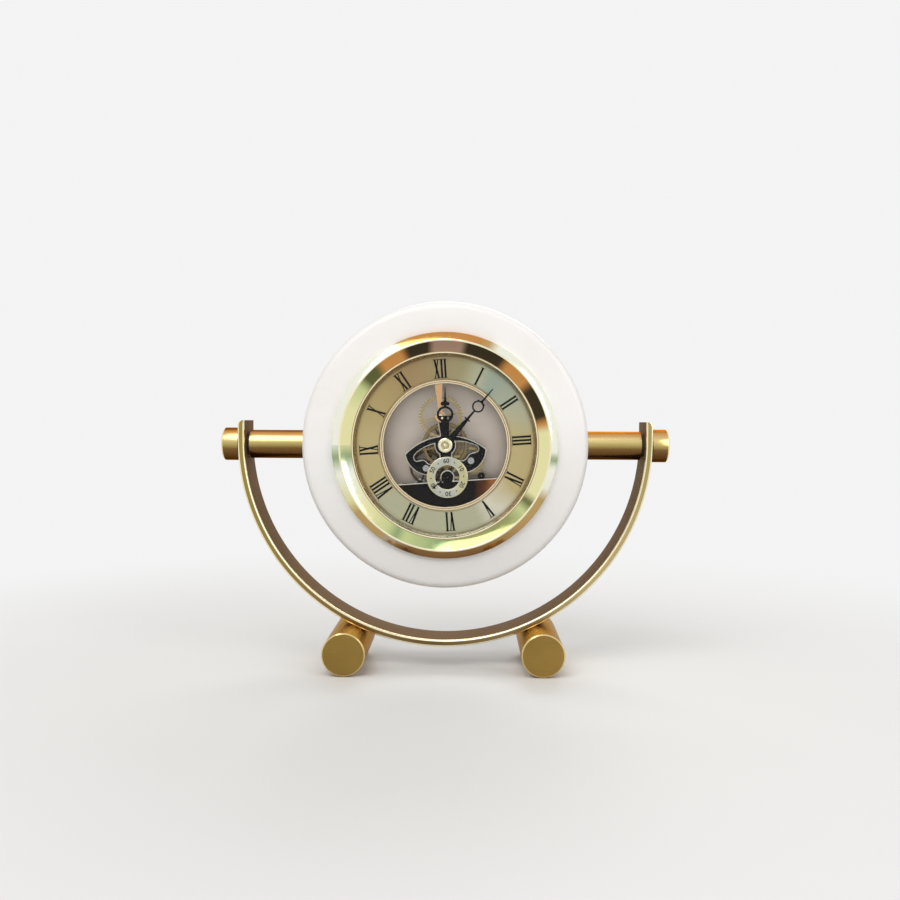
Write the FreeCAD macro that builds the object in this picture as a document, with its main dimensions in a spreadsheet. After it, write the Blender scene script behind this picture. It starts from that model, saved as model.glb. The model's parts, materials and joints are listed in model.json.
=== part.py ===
import FreeCAD, Part
import math
import operator
import os
from types import SimpleNamespace

import Sketcher

# Desk clock: a thick white ring that turns on two rods between the arms of a bent brass strip.
# X is to the right, Y is to the back and Z is up; the stand rests on Z = 0, the dial faces -Y,
# and Y = 0 is halfway between the ends of the feet, a little in front of the strip's middle.
# The dial frame has the hub as its origin and is turned a little about Y with the clock insert.

Vector = FreeCAD.Vector
Rotation = FreeCAD.Rotation
doc = FreeCAD.newDocument("DeskClock")

# Driving sizes in millimetres and degrees, each with what it measures
SIZES = [
    # Stand
    ("bow_radius", 137.5, "outside radius of the bent strip"),
    ("bow_thickness", 4.5, "thickness of the strip"),
    ("bow_width", 28.5, "width of the strip, front to back"),
    ("bow_rise", 12.6, "straight arm above the centre of the bend"),
    ("bow_corner", 3.2, "rounding of the arm's outer top corner"),
    ("foot_radius", 14.0, "radius of a foot"),
    ("foot_front", 40.0, "middle of the strip to the front end of a foot"),
    ("foot_back", 28.0, "middle of the strip to the back end of a foot"),
    ("foot_offset", 64.0, "centre plane to the axis of a foot"),
    ("foot_bevel", 0.8, "bevel at the ends of a foot"),
    ("seat_depth", 0.3, "how deep the strip is let into a foot"),
    ("flat_depth", 0.6, "depth of the flat that a pad is glued to"),
    ("pad_width", 7.0, "width of a pad"),
    ("pad_length", 13.5, "length of a pad"),
    ("pad_thickness", 1.0, "thickness of a pad"),
    ("pad_margin", 3.0, "end of the foot to the end of its pad"),
    ("foot_screw_radius", 2.0, "shank radius of a foot screw"),
    ("foot_screw_head", 3.5, "head radius of a foot screw"),
    ("foot_screw_height", 4.0, "head height of a foot screw"),
    ("foot_screw_pitch", 11.0, "distance between the two screws of a foot"),
    ("foot_screw_bite", 3.0, "thread of a foot screw inside the strip"),
    ("foot_screw_sink", 2.5, "foot's surface to the top of a screw head"),
    ("foot_screw_relief", 0.8, "space round a foot screw's head"),
    # Pivot
    ("pivot_drop", 3.4, "centre of the bend down to the pivot axis"),
    ("stud_radius", 3.0, "radius of the threaded stud through a rod"),
    ("stud_reach", 8.0, "thread of a stud inside its end cap"),
    ("bush_wall", 2.0, "wall of the bush in an arm"),
    ("bush_flange", 7.5, "radius of the bush's flange"),
    ("flange_thickness", 1.6, "thickness of the bush's flange"),
    ("washer_radius", 8.0, "radius of the washer under an end cap"),
    ("washer_thickness", 0.6, "thickness of that washer"),
    ("pivot_play", 0.1, "end play at each bush"),
    ("rod_radius", 9.5, "radius of a rod"),
    ("rod_sink", 1.0, "how deep a rod is let into the ring"),
    ("rod_gap", 0.1, "space round a rod in the ring and round the stud in a rod"),
    ("cap_radius", 11.0, "radius of an end cap"),
    ("cap_length", 11.0, "length of an end cap"),
    ("cap_bevel", 1.0, "bevel of an end cap's rims"),
    ("nut_radius", 5.0, "radius of the threaded insert in the ring"),
    ("nut_length", 18.0, "length of that insert"),
    # Ring
    ("ring_wall", 28.5, "bore of the ring to its outside"),
    ("bore_space", 1.5, "case to the bore of the ring, filled by the rubber band"),
    ("ring_thickness", 32.0, "thickness of the ring, front to back"),
    ("ring_round", 5.0, "rounding of the ring's outer edges"),
    ("bore_round", 1.2, "rounding of the bore's edges"),
    # Clock insert
    ("insert_roll", -4.0, "turn of the insert in the ring, as the photograph shows it"),
    ("case_radius", 65.0, "outside radius of the insert's case"),
    ("case_wall", 1.8, "wall of the case"),
    ("case_length", 25.5, "length of the case"),
    ("bezel_flange", 9.5, "case to the outside of the bezel"),
    ("bezel_edge", 2.6, "height of the bezel's outer edge"),
    ("ridge_inset", 5.4, "outside of the bezel to its ridge"),
    ("bezel_rise", 6.0, "ring's face to the bezel's ridge"),
    ("lip_cover", 2.4, "how far the lip covers the crystal"),
    ("lip_height", 2.7, "ring's face to the bezel's inner lip"),
    ("lip_thickness", 0.6, "thickness of the lip over the crystal"),
    ("crystal_fit", 0.2, "space round the crystal"),
    ("crystal_thickness", 1.8, "thickness of the crystal"),
    ("crystal_gap", 0.2, "ring's face plane to the crystal's back"),
    ("ledge_width", 4.7, "width of the ledges that carry the dial and the cover"),
    ("ledge_thickness", 1.2, "thickness of those ledges"),
    ("cover_thickness", 1.5, "thickness of the rear cover"),
    ("cover_gap", 0.2, "space round the rear cover"),
    ("cover_screw_inset", 2.7, "inside of the case to a cover screw's axis"),
    ("cover_screw_radius", 0.9, "shank radius of a cover screw"),
    ("cover_screw_head", 1.7, "head radius of a cover screw"),
    ("cover_screw_height", 0.9, "head height of a cover screw"),
    ("band_thickness", 1.0, "thickness of the rubber band round the case"),
    ("band_length", 14.0, "length of that band"),
    ("band_setback", 7.0, "ring's face to the front of the band"),
    ("band_rib", 0.3, "height of a rib on the band"),
    # Dial
    ("dial_depth", 4.8, "ring's face plane back to the dial's face"),
    ("dial_thickness", 0.8, "thickness of the dial ring"),
    ("dial_space", 1.4, "space round the dial ring"),
    ("opening_radius", 41.5, "radius of the dial's opening"),
    ("rehaut_slope", 1.0, "how much the sloping ring narrows towards the dial"),
    ("rim_width", 2.3, "width of the rim on the dial's opening"),
    ("rim_height", 0.6, "height of that rim above the dial"),
    ("rim_wall", 0.5, "wall of the rim inside the opening"),
    # Plates
    ("plate_thickness", 1.2, "thickness of the front and lower plates"),
    ("rear_plate_thickness", 1.0, "thickness of the middle and back plates"),
    ("plate_half_width", 27.2, "hub to the tip of a wing"),
    ("plate_crown", 6.5, "top of the plate above the hub"),
    ("tip_drop", 4.2, "tip of a wing below the hub"),
    ("hub_ring", 7.2, "radius of the plate round the hub"),
    ("neck_half", 2.4, "half width of the plate's upper neck"),
    ("boss_radius", 3.6, "radius of the boss at the top of the neck"),
    ("seat_inner", 8.4, "inner radius of the seat of the seconds ring"),
    ("seat_outer", 12.8, "outer radius of that seat"),
    ("chord_drop", 24.0, "hub down to the lower plate's straight edge"),
    ("plate_gap", 0.3, "gap between the front plate and the lower plate"),
    ("sector_radius", 47.0, "radius of the lower plate"),
    ("omega_radius", 4.7, "radius of the boss on the lower plate"),
    ("apron_half", 31.0, "half width of the apron on the rear plates"),
    ("apron_bottom", 33.0, "hub down to the apron's lower edge"),
    ("apron_setback", 0.4, "lower plate's straight edge down to the apron's top"),
    ("pivot_boss", 2.4, "radius of a pivot boss on the rear plates"),
    ("pillar_radius", 1.2, "radius of a pillar"),
    ("pillar_offset", 27.0, "hub to a lower pillar, sideways"),
    ("pillar_drop", 27.0, "hub down to a lower pillar"),
    ("plate_screw_head", 1.6, "head radius of a plate screw"),
    ("plate_screw_height", 0.5, "head height of a plate screw"),
    ("plate_screw_radius", 0.6, "shank radius of a plate screw"),
    ("plate_screw_bite", 1.6, "thread of a plate screw in its pillar"),
    ("bridge_top_half", 2.55, "half width of the upper bridge at the dial"),
    ("bridge_foot_half", 1.0, "half width of the upper bridge near its boss"),
    ("bridge_overlap", 8.5, "upper bridge behind the dial"),
    ("dome_radius", 2.3, "radius of the domed screw on the bridge"),
    ("dome_height", 0.5, "height of that dome"),
    ("dome_shank", 1.0, "shank radius of the domed screw"),
    ("dome_bite", 0.4, "shank of the domed screw in the front plate"),
    # Wheels
    ("layer_gap", 0.5, "plate to the nearest wheel"),
    ("layer_pitch", 1.4, "one layer of wheels to the next"),
    ("wheel_thickness", 0.7, "thickness of a wheel"),
    ("motor_room", 1.7, "rearmost wheel to the back plate"),
    ("upper_x", -1.8, "upper arbor, sideways"),
    ("upper_z", 19.0, "upper arbor above the hub"),
    ("left_x", -13.8, "left arbor, sideways"),
    ("left_z", -14.5, "left arbor, up"),
    ("right_x", 16.4, "right arbor, sideways"),
    ("right_z", -11.4, "right arbor, up"),
    ("seconds_drop", 21.4, "hub down to the seconds arbor"),
    ("third_x", 6.9, "third arbor, sideways"),
    ("centre_radius", 14.9, "pitch radius of the centre wheel"),
    ("left_radius", 11.5, "pitch radius of the left wheel"),
    ("stem_angle", -60.0, "direction from the right arbor to the setting stem"),
    ("rotor_angle", 245.0, "direction from the left arbor to the rotor"),
    ("rim_band", 1.5, "rim of a wheel inside its teeth"),
    ("spoke_width", 1.1, "width of a spoke"),
    ("wheel_hub", 2.2, "hub radius of a wheel"),
    ("arbor_radius", 0.5, "radius of an arbor"),
    ("pivot_radius", 0.35, "radius of a pivot"),
    ("pivot_length", 0.8, "length of a pivot"),
    ("running_gap", 0.03, "radial clearance of a pivot, pipe or knob"),
    ("end_shake", 0.1, "end play of an arbor"),
    ("cannon_radius", 1.1, "radius of the minute arbor"),
    ("pipe_radius", 2.0, "outside radius of the hour pipe"),
    ("hour_boss", 3.2, "hub radius of the hour wheel"),
    ("clutch_radius", 2.6, "collar that drives the minute arbor by friction"),
    ("clutch_gap", 0.2, "collar to the centre wheel"),
    # Hands
    ("hour_lift", 0.8, "dial's face to the back of the hour hand"),
    ("hand_step", 1.05, "back of the hour hand to the back of the minute hand"),
    ("hand_thickness", 0.5, "thickness of a hand"),
    ("hour_reach", 38.4, "length of the hour hand"),
    ("hour_hub", 5.2, "hub radius of the hour hand"),
    ("hour_angle", 3.67, "hour hand past twelve"),
    ("minute_reach", 48.9, "length of the minute hand"),
    ("minute_hub", 4.0, "hub radius of the minute hand"),
    ("minute_angle", 44.0, "minute hand past twelve"),
    ("cap_screw_radius", 4.9, "radius of the cap on the hands"),
    ("cap_screw_height", 1.4, "height of that cap"),
    ("seconds_reach", 12.2, "length of the seconds hand"),
    ("seconds_hub", 1.3, "hub radius of the seconds hand"),
    ("seconds_angle", 238.0, "seconds hand past its top mark"),
    ("seconds_inner", 8.1, "inner radius of the seconds ring"),
    ("seconds_outer", 13.7, "outer radius of the seconds ring"),
    ("seconds_plate", 0.5, "thickness of the seconds ring"),
    # Power and setting
    ("battery_radius", 7.1, "radius of the battery"),
    ("battery_length", 50.0, "length of the battery"),
    ("terminal_radius", 2.7, "radius of the battery's terminal"),
    ("terminal_length", 1.0, "length of the battery's terminal"),
    ("box_half", 29.0, "half length of the battery box"),
    ("box_top", 33.4, "hub down to the top of the battery box"),
    ("box_bottom", 50.1, "hub down to the bottom of the battery box"),
    ("box_wall", 1.2, "wall of the battery box"),
    ("door_thickness", 1.4, "thickness of the battery door"),
    ("door_lip", 1.6, "lip of the battery door inside its box"),
    ("door_gap", 0.1, "space round the door's lip"),
    ("grip_notch", 6.0, "radius of the finger notch in the battery door"),
    ("contact_thickness", 0.4, "thickness of a battery contact"),
    ("contact_half", 5.0, "half size of a battery contact"),
    ("rotor_magnet", 2.2, "radius of the rotor's magnet"),
    ("rotor_magnet_length", 1.1, "length of the rotor's magnet"),
    ("stator_gap", 0.3, "magnet to the stator"),
    ("stator_radius", 4.2, "radius of the stator round the magnet"),
    ("core_half", 0.9, "half width of the coil's core"),
    ("coil_radius", 1.9, "radius of the coil"),
    ("coil_bore", 1.15, "bore of the coil"),
    ("coil_start", -4.5, "left end of the coil"),
    ("coil_end", 11.0, "right end of the coil"),
    ("coil_drop", 26.0, "hub down to the coil's axis"),
    ("post_radius", 0.8, "radius of a stator post"),
    ("board_half", 13.0, "half length of the circuit board"),
    ("board_width", 4.4, "width of the circuit board"),
    ("board_thickness", 0.8, "thickness of the circuit board"),
    ("chip_radius", 1.6, "radius of the potted chip"),
    ("chip_height", 0.7, "height of the potted chip"),
    ("stem_radius", 1.2, "radius of the setting stem at the knob"),
    ("knob_radius", 5.6, "radius of the setting knob"),
    ("knob_length", 5.0, "length of the setting knob"),
    ("knob_lift", 0.4, "rear cover to the setting knob"),
    ("flute_radius", 0.7, "radius of a flute on the knob"),
    # Shared allowances
    ("fit_gap", 0.03, "clearance of a fixed fit"),
    ("overrun", 1.0, "how far a cut runs past the piece"),
]

sheet = doc.addObject("Spreadsheet::Sheet", "Sizes")
for row, (alias, number, note) in enumerate(SIZES, start=1):
    sheet.set(f"A{row}", alias)
    sheet.set(f"B{row}", str(number))
    sheet.set(f"C{row}", note)
    sheet.setAlias(f"B{row}", alias)
doc.recompute()

# Counts of teeth; each wheel is named after its arbor
CANNON_PINION_COUNT, UPPER_WHEEL_COUNT = 14, 42
UPPER_PINION_COUNT, HOUR_WHEEL_COUNT = 12, 48
SETTING_WHEEL_COUNT, RIGHT_WHEEL_COUNT, STEM_PINION_COUNT = 32, 28, 10
SECONDS_PINION_COUNT, THIRD_WHEEL_COUNT = 6, 45
THIRD_PINION_COUNT, CENTRE_WHEEL_COUNT = 6, 48
SECONDS_WHEEL_COUNT, LEFT_PINION_COUNT = 36, 14
LEFT_WHEEL_COUNT, ROTOR_PINION_COUNT = 70, 6

SPOKE_COUNT = 4
FLUTE_COUNT = 18
BAND_STEP_COUNT = 7

# Tooth form, in modules and in shares of one tooth's angle
ADDENDUM_SHARE = 0.7
DEDENDUM_SHARE = 1.05
TOOTH_ROOT_SHARE = 0.28
TOOTH_TIP_SHARE = 0.12

OPERATIONS = {"+": operator.add, "-": operator.sub, "*": operator.mul, "/": operator.truediv}


class Formula:
    """A size worked out from the sheet: its number now, and the expression that ties it."""

    def __init__(self, number, text):
        self.number = float(number)
        self.text = text

    def __float__(self):
        return self.number

    def __add__(self, other):
        return join(self, "+", other)

    def __radd__(self, other):
        return join(other, "+", self)

    def __sub__(self, other):
        return join(self, "-", other)

    def __rsub__(self, other):
        return join(other, "-", self)

    def __mul__(self, other):
        return join(self, "*", other)

    def __rmul__(self, other):
        return join(other, "*", self)

    def __truediv__(self, other):
        return join(self, "/", other)

    def __neg__(self):
        return join(-1, "*", self)


def as_formula(value):
    return value if isinstance(value, Formula) else Formula(value, f"({value})")


def join(left, sign, right):
    left, right = as_formula(left), as_formula(right)
    number = OPERATIONS[sign](left.number, right.number)
    return Formula(number, f"({left.text} {sign} {right.text})")


def square_root(value):
    return Formula(math.sqrt(value.number), f"sqrt({value.text})")


def sine(degrees):
    return Formula(math.sin(math.radians(degrees.number)), f"sin({degrees.text})")


def cosine(degrees):
    return Formula(math.cos(math.radians(degrees.number)), f"cos({degrees.text})")


def angle_of_sine(value):
    return Formula(math.degrees(math.asin(value.number)), f"(asin({value.text}) / 1 deg)")


size = SimpleNamespace(
    **{alias: Formula(getattr(sheet, alias), f"Sizes.{alias}") for alias, _, _ in SIZES}
)

# Places worked out from the sizes: the stand
bow_inner = size.bow_radius - size.bow_thickness
bow_half = size.bow_width / 2
foot_height = size.foot_radius - size.flat_depth + size.pad_thickness
foot_reach = size.bow_radius + size.foot_radius - size.seat_depth
foot_fall = square_root(foot_reach * foot_reach - size.foot_offset * size.foot_offset)
bow_height = foot_height + foot_fall
pivot_height = bow_height - size.pivot_drop
strip_middle = (size.foot_front - size.foot_back) / 2

# Radii that follow the case of the clock insert
case_inner = size.case_radius - size.case_wall
crystal_radius = case_inner - size.crystal_fit
bezel_radius = size.case_radius + size.bezel_flange
ridge_radius = bezel_radius - size.ridge_inset
lip_radius = crystal_radius - size.lip_cover
ledge_inner = case_inner - size.ledge_width
cover_screw_circle = case_inner - size.cover_screw_inset
dial_radius = case_inner - size.dial_space
rehaut_radius = lip_radius - size.rehaut_slope
bore_radius = size.case_radius + size.bore_space
ring_radius = bore_radius + size.ring_wall

# The ring and the rods
ring_half = size.ring_thickness / 2
rod_start = square_root(ring_radius * ring_radius - size.rod_radius * size.rod_radius)
rod_start = rod_start - size.rod_sink
rod_end = bow_inner - size.flange_thickness - size.pivot_play
cap_start = size.bow_radius + size.washer_thickness + size.pivot_play
stud_end = cap_start + size.stud_reach
nut_start = rod_start - size.nut_length

# Depths in the dial frame, from the front to the back
ring_front = -ring_half
crystal_back = ring_front - size.crystal_gap
crystal_front = crystal_back - size.crystal_thickness
dial_front = ring_front + size.dial_depth
dial_back = dial_front + size.dial_thickness
plate_front = dial_back
plate_back = plate_front + size.plate_thickness
hour_layer = plate_back + size.layer_gap
cannon_layer = hour_layer + size.layer_pitch
centre_layer = cannon_layer + size.layer_pitch
third_layer = centre_layer + size.layer_pitch
middle_front = third_layer + size.wheel_thickness + size.layer_gap
middle_back = middle_front + size.rear_plate_thickness
seconds_layer = middle_back + size.layer_gap
left_layer = seconds_layer + size.layer_pitch
setting_layer = left_layer + size.layer_pitch
back_front = setting_layer + size.wheel_thickness + size.motor_room
back_back = back_front + size.rear_plate_thickness
case_back = ring_front + size.case_length
cover_front = case_back - size.cover_thickness
hour_hand_back = dial_front - size.hour_lift
minute_hand_back = hour_hand_back - size.hand_step
cap_back = minute_hand_back - size.hand_thickness
seconds_front = plate_front - size.seconds_plate

# Arbors in the dial frame
seconds_z = -size.seconds_drop
centre_distance = size.centre_radius * (1 + THIRD_PINION_COUNT / CENTRE_WHEEL_COUNT)
third_z = -square_root(centre_distance * centre_distance - size.third_x * size.third_x)
right_distance = square_root(size.right_x * size.right_x + size.right_z * size.right_z)
setting_module = right_distance / (SETTING_WHEEL_COUNT + RIGHT_WHEEL_COUNT)
stem_distance = setting_module * (RIGHT_WHEEL_COUNT + STEM_PINION_COUNT)
stem_x = size.right_x + stem_distance * cosine(size.stem_angle)
stem_z = size.right_z + stem_distance * sine(size.stem_angle)
rotor_distance = size.left_radius * (1 + ROTOR_PINION_COUNT / LEFT_WHEEL_COUNT)
rotor_x = size.left_x + rotor_distance * cosine(size.rotor_angle)
rotor_z = size.left_z + rotor_distance * sine(size.rotor_angle)

TURNS = {
    "X": Rotation(Vector(0, 1, 0), 90),
    "Y": Rotation(Vector(1, 0, 0), -90),
    "Z": Rotation(),
}


def tie(item, prop, value):
    """Binds one property to the sheet."""
    if isinstance(value, Formula):
        item.setExpression(prop, value.text)


def place(item, x, y, z, rotation):
    item.Placement = FreeCAD.Placement(Vector(float(x), float(y), float(z)), rotation)
    for axis, value in zip("xyz", (x, y, z)):
        tie(item, f"Placement.Base.{axis}", value)
    return item


def cylinder(axis, radius, start, end, first=0, second=0):
    """A cylinder along an axis; first and second are its other two coordinates in X, Y, Z order."""
    item = doc.addObject("Part::Cylinder", "Cylinder")
    tie(item, "Radius", radius)
    tie(item, "Height", end - start)
    spots = {"X": (start, first, second), "Y": (first, start, second), "Z": (first, second, start)}
    return place(item, *spots[axis], TURNS[axis])


def box(x_range, y_range, z_range):
    item = doc.addObject("Part::Box", "Box")
    for prop, (low, high) in zip(("Length", "Width", "Height"), (x_range, y_range, z_range)):
        tie(item, prop, high - low)
    return place(item, x_range[0], y_range[0], z_range[0], TURNS["Z"])


def radial_cylinder(side, radius, start, end, depth):
    """A cylinder on the line from the centre of the bend through the axis of a foot."""
    item = doc.addObject("Part::Cylinder", "RadialCylinder")
    tie(item, "Radius", radius)
    tie(item, "Height", end - start)
    spread_share = size.foot_offset / foot_reach
    fall_share = foot_fall / foot_reach
    place(item, side * start * spread_share, depth, bow_height - start * fall_share, TURNS["Z"])
    lean = angle_of_sine(spread_share)
    item.Placement.Rotation = Rotation(Vector(0, 1, 0), 180 - side * lean.number)
    tie(item, "Placement.Rotation.Angle", 180 - side * lean)
    return item


def fuse(*items):
    item = doc.addObject("Part::MultiFuse", "Fused")
    item.Shapes = list(items)
    item.Refine = True
    return item


def common(*items):
    item = doc.addObject("Part::MultiCommon", "Shared")
    item.Shapes = list(items)
    item.Refine = True
    return item


def cut(base, *tools):
    item = doc.addObject("Part::Cut", "CutOut")
    item.Base = base
    item.Tool = tools[0] if len(tools) == 1 else fuse(*tools)
    item.Refine = True
    return item


def turned(axis, corners):
    """A lathe part: corners are (radius, y) about Y, or (x, radius) about X."""
    body = doc.addObject("PartDesign::Body", "Turned")
    sketch = body.newObject("Sketcher::SketchObject", "Profile")
    planes = [item for item in body.Origin.OriginFeatures if item.Role == "XY_Plane"]
    sketch.AttachmentSupport = [(planes[0], "")]
    sketch.MapMode = "FlatFace"
    spots = [Vector(float(a), float(b), 0) for a, b in corners]
    for index, spot in enumerate(spots):
        sketch.addGeometry(Part.LineSegment(spot, spots[(index + 1) % len(spots)]), False)
    for index in range(len(spots)):
        following = (index + 1) % len(spots)
        sketch.addConstraint(Sketcher.Constraint("Coincident", index, 2, following, 1))
    for index, corner in enumerate(corners):
        for kind, value in zip(("DistanceX", "DistanceY"), corner):
            number = sketch.addConstraint(Sketcher.Constraint(kind, -1, 1, index, 1, float(value)))
            tie(sketch, f"Constraints[{number}]", value)
    feature = body.newObject("PartDesign::Revolution", "Turning")
    feature.Profile = sketch
    feature.ReferenceAxis = (sketch, ["V_Axis" if axis == "Y" else "H_Axis"])
    feature.Angle = 360
    body.Tip = feature
    return body


def tube(outer, inner, front, back):
    """A plain ring about the dial's axis."""
    return turned("Y", [(inner, front), (outer, front), (outer, back), (inner, back)])


def rounded(body, radius, chosen):
    """Rounds the edges of a body that the test picks."""
    doc.recompute()
    base = body.Tip
    names = [f"Edge{n}" for n, edge in enumerate(base.Shape.Edges, start=1) if chosen(edge)]
    feature = body.newObject("PartDesign::Fillet", "Rounding")
    feature.Base = (base, names)
    tie(feature, "Radius", radius)
    body.Tip = feature
    return body


def shaped(shape):
    """A free form that Part's own functions make."""
    item = doc.addObject("Part::Feature", "Shaped")
    item.Shape = shape
    return item


NODES = []


def node(label, frame, *items):
    """One named piece, or one group of alike pieces, set in its frame."""
    item = doc.addObject("Part::Compound", "Piece")
    item.Label = label
    item.Links = list(items)
    tie(item, "Placement.Base.y", strip_middle)
    if frame != "stand":
        tie(item, "Placement.Base.z", pivot_height)
    if frame == "dial":
        item.Placement.Rotation = Rotation(Vector(0, 1, 0), size.insert_roll.number)
        tie(item, "Placement.Rotation.Angle", size.insert_roll)
    NODES.append(item)
    return item


def both(maker):
    return [maker(side) for side in (-1, 1)]


# Shapes by Part's own functions, all in the dial frame


def disc(radius, front, thickness, x=0, z=0):
    return Part.makeCylinder(float(radius), float(thickness), spot(x, z, front), Vector(0, 1, 0))


def spot(x, z, y=0):
    return Vector(float(x), float(y), float(z))


def slab(wire, front, thickness):
    """A flat outline made thick towards the back."""
    wire.translate(Vector(0, float(front), 0))
    return Part.Face(wire).extrude(Vector(0, float(thickness), 0))


def polygon(points, front, thickness):
    corners = [spot(x, z) for x, z in points]
    return slab(Part.makePolygon(corners + corners[:1]), front, thickness)


def angle_of(from_x, from_z, to_x, to_z):
    return math.degrees(math.atan2(float(to_z) - float(from_z), float(to_x) - float(from_x)))


def distance_of(from_x, from_z, to_x, to_z):
    return math.hypot(float(to_x) - float(from_x), float(to_z) - float(from_z))


def mesh_phase(direction, phase, teeth, other_teeth):
    """The phase of a wheel whose gap meets the tooth of the wheel that it is in mesh with."""
    return direction + 180 - (phase - direction) * teeth / other_teeth + 180 / other_teeth


def gear(teeth, radius, phase, x, z, front, hub=None):
    """A toothed wheel; with a hub radius it is open between its spokes."""
    thickness = size.wheel_thickness
    module = 2 * float(radius) / teeth
    root = float(radius) - DEDENDUM_SHARE * module
    tip = float(radius) + ADDENDUM_SHARE * module
    flank = (
        (root, -TOOTH_ROOT_SHARE),
        (tip, -TOOTH_TIP_SHARE),
        (tip, TOOTH_TIP_SHARE),
        (root, TOOTH_ROOT_SHARE),
    )
    points = []
    for tooth in range(teeth):
        for reach, share in flank:
            turn = math.radians(phase + (tooth + share) * 360 / teeth)
            points.append((float(x) + reach * math.cos(turn), float(z) + reach * math.sin(turn)))
    shape = polygon(points, front, thickness)
    if hub is not None:
        inner = root - float(size.rim_band)
        window = disc(inner, front, thickness, x, z).cut(disc(hub, front, thickness, x, z))
        for index in range(SPOKE_COUNT):
            spoke = Part.makeBox(
                inner,
                float(thickness),
                float(size.spoke_width),
                Vector(0, float(front), -float(size.spoke_width) / 2),
            )
            spoke.rotate(Vector(0, 0, 0), Vector(0, 1, 0), index * 360 / SPOKE_COUNT - phase)
            spoke.translate(spot(x, z))
            window = window.cut(spoke)
        shape = shape.cut(window)
    return shape


def arbor(x, z, front, back):
    """An arbor between two plates with a thinner pivot at each end."""
    shake = float(size.end_shake)
    length = float(back) - float(front) - 2 * shake
    pin = float(size.pivot_length) + shake
    body = disc(size.arbor_radius, float(front) + shake, length, x, z)
    ends = disc(size.pivot_radius, float(front) + shake - pin, length + 2 * pin, x, z)
    return body.fuse(ends)


def pivot_hole(x, z, radius=None):
    reach = float(size.case_length)
    hole = float(radius or size.pivot_radius) + float(size.running_gap)
    return disc(hole, -reach, 2 * reach, x, z)


def united(*shapes):
    return shapes[0].multiFuse(list(shapes[1:])).removeSplitter()


# Stand: bent strip, feet, screws, pads, bushes and washers


def make_bow():
    depth = (-bow_half, bow_half)
    top = bow_height + size.bow_rise
    outer = fuse(
        cylinder("Y", size.bow_radius, *depth, 0, bow_height),
        box((-size.bow_radius, size.bow_radius), depth, (bow_height, top)),
    )
    lower = common(outer, box((-size.bow_radius, size.bow_radius), depth, (0 * top, top)))
    through = (-bow_half - size.overrun, bow_half + size.overrun)
    inside = (
        cylinder("Y", bow_inner, *through, 0, bow_height),
        box((-bow_inner, bow_inner), through, (bow_height, top + size.overrun)),
    )
    reach = size.bow_radius + size.overrun
    bush_hole = size.stud_radius + size.bush_wall + size.fit_gap
    face = size.bush_flange + size.overrun
    tools = [
        *inside,
        cylinder("X", bush_hole, -reach, reach, 0, pivot_height),
        cylinder("X", face, -bow_inner, bow_inner, 0, pivot_height),
    ]
    for side in (-1, 1):
        for end in (-1, 1):
            depth_of_screw = end * size.foot_screw_pitch / 2
            screw_top = size.bow_radius - size.foot_screw_bite - size.fit_gap
            radius = size.foot_screw_radius + size.fit_gap
            tools.append(radial_cylinder(side, radius, screw_top, reach, depth_of_screw))
    strip = cut(lower, *tools)
    doc.recompute()
    corner = doc.addObject("Part::Fillet", "ArmCorners")
    corner.Base = strip
    radius = size.bow_corner.number
    edges = []
    for number, edge in enumerate(strip.Shape.Edges, start=1):
        middle = edge.CenterOfMass
        outermost = abs(abs(middle.x) - size.bow_radius.number) < radius / 100
        topmost = abs(middle.z - top.number) < radius / 100
        if outermost and topmost:
            edges.append((number, radius, radius))
    corner.Edges = edges
    return node("stand_bow", "stand", corner)


def make_foot(side, label):
    front, back = -size.foot_front, size.foot_back
    bevel = size.foot_bevel
    round_bar = turned(
        "Y",
        [
            (0, front),
            (size.foot_radius - bevel, front),
            (size.foot_radius, front + bevel),
            (size.foot_radius, back - bevel),
            (size.foot_radius - bevel, back),
            (0, back),
        ],
    )
    place(round_bar, side * size.foot_offset, 0, foot_height, TURNS["Z"])
    seat = bow_half + size.fit_gap
    tools = [cylinder("Y", size.bow_radius + size.fit_gap, -seat, seat, 0, bow_height)]
    low = foot_reach - size.foot_radius - size.overrun
    high = foot_reach + size.foot_radius + size.overrun
    for end in (-1, 1):
        depth = end * size.foot_screw_pitch / 2
        hole = size.foot_screw_radius + size.fit_gap
        sink = size.foot_screw_head + size.foot_screw_relief
        tools.append(radial_cylinder(side, hole, low, high, depth))
        tools.append(radial_cylinder(side, sink, screw_seat, high, depth))
        tools.append(pad_space(side, end, size.fit_gap))
    return node(label, "stand", cut(round_bar, *tools))


def pad_space(side, end, gap):
    """The room of one pad: a block from the ground up to the flat of the foot."""
    middle = side * size.foot_offset
    half = size.pad_width / 2 + gap
    reach = size.foot_front if end < 0 else size.foot_back
    outer = end * (reach - size.pad_margin)
    inner = outer - end * size.pad_length
    near, far = (outer, inner) if end < 0 else (inner, outer)
    return box((middle - half, middle + half), (near - gap, far + gap), (0, size.pad_thickness))


screw_seat = foot_reach + size.foot_radius - size.foot_screw_sink - size.foot_screw_height


def foot_screw(side, end):
    depth = end * size.foot_screw_pitch / 2
    top = size.bow_radius - size.foot_screw_bite
    head_end = screw_seat + size.foot_screw_height
    return fuse(
        radial_cylinder(side, size.foot_screw_radius, top, head_end, depth),
        radial_cylinder(side, size.foot_screw_head, screw_seat, head_end, depth),
    )


def make_bushes():
    pieces = []
    bore = size.stud_radius + size.running_gap
    outer = size.stud_radius + size.bush_wall
    for side in (-1, 1):
        inner_end = side * (bow_inner - size.flange_thickness)
        face = side * bow_inner
        outer_end = side * size.bow_radius
        corners = [
            (inner_end, bore),
            (inner_end, size.bush_flange),
            (face, size.bush_flange),
            (face, outer),
            (outer_end, outer),
            (outer_end, bore),
        ]
        pieces.append(turned("X", corners))
    for piece in pieces:
        tie(piece, "Placement.Base.z", pivot_height)
    return node("pivot_bushes", "stand", *pieces)


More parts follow.
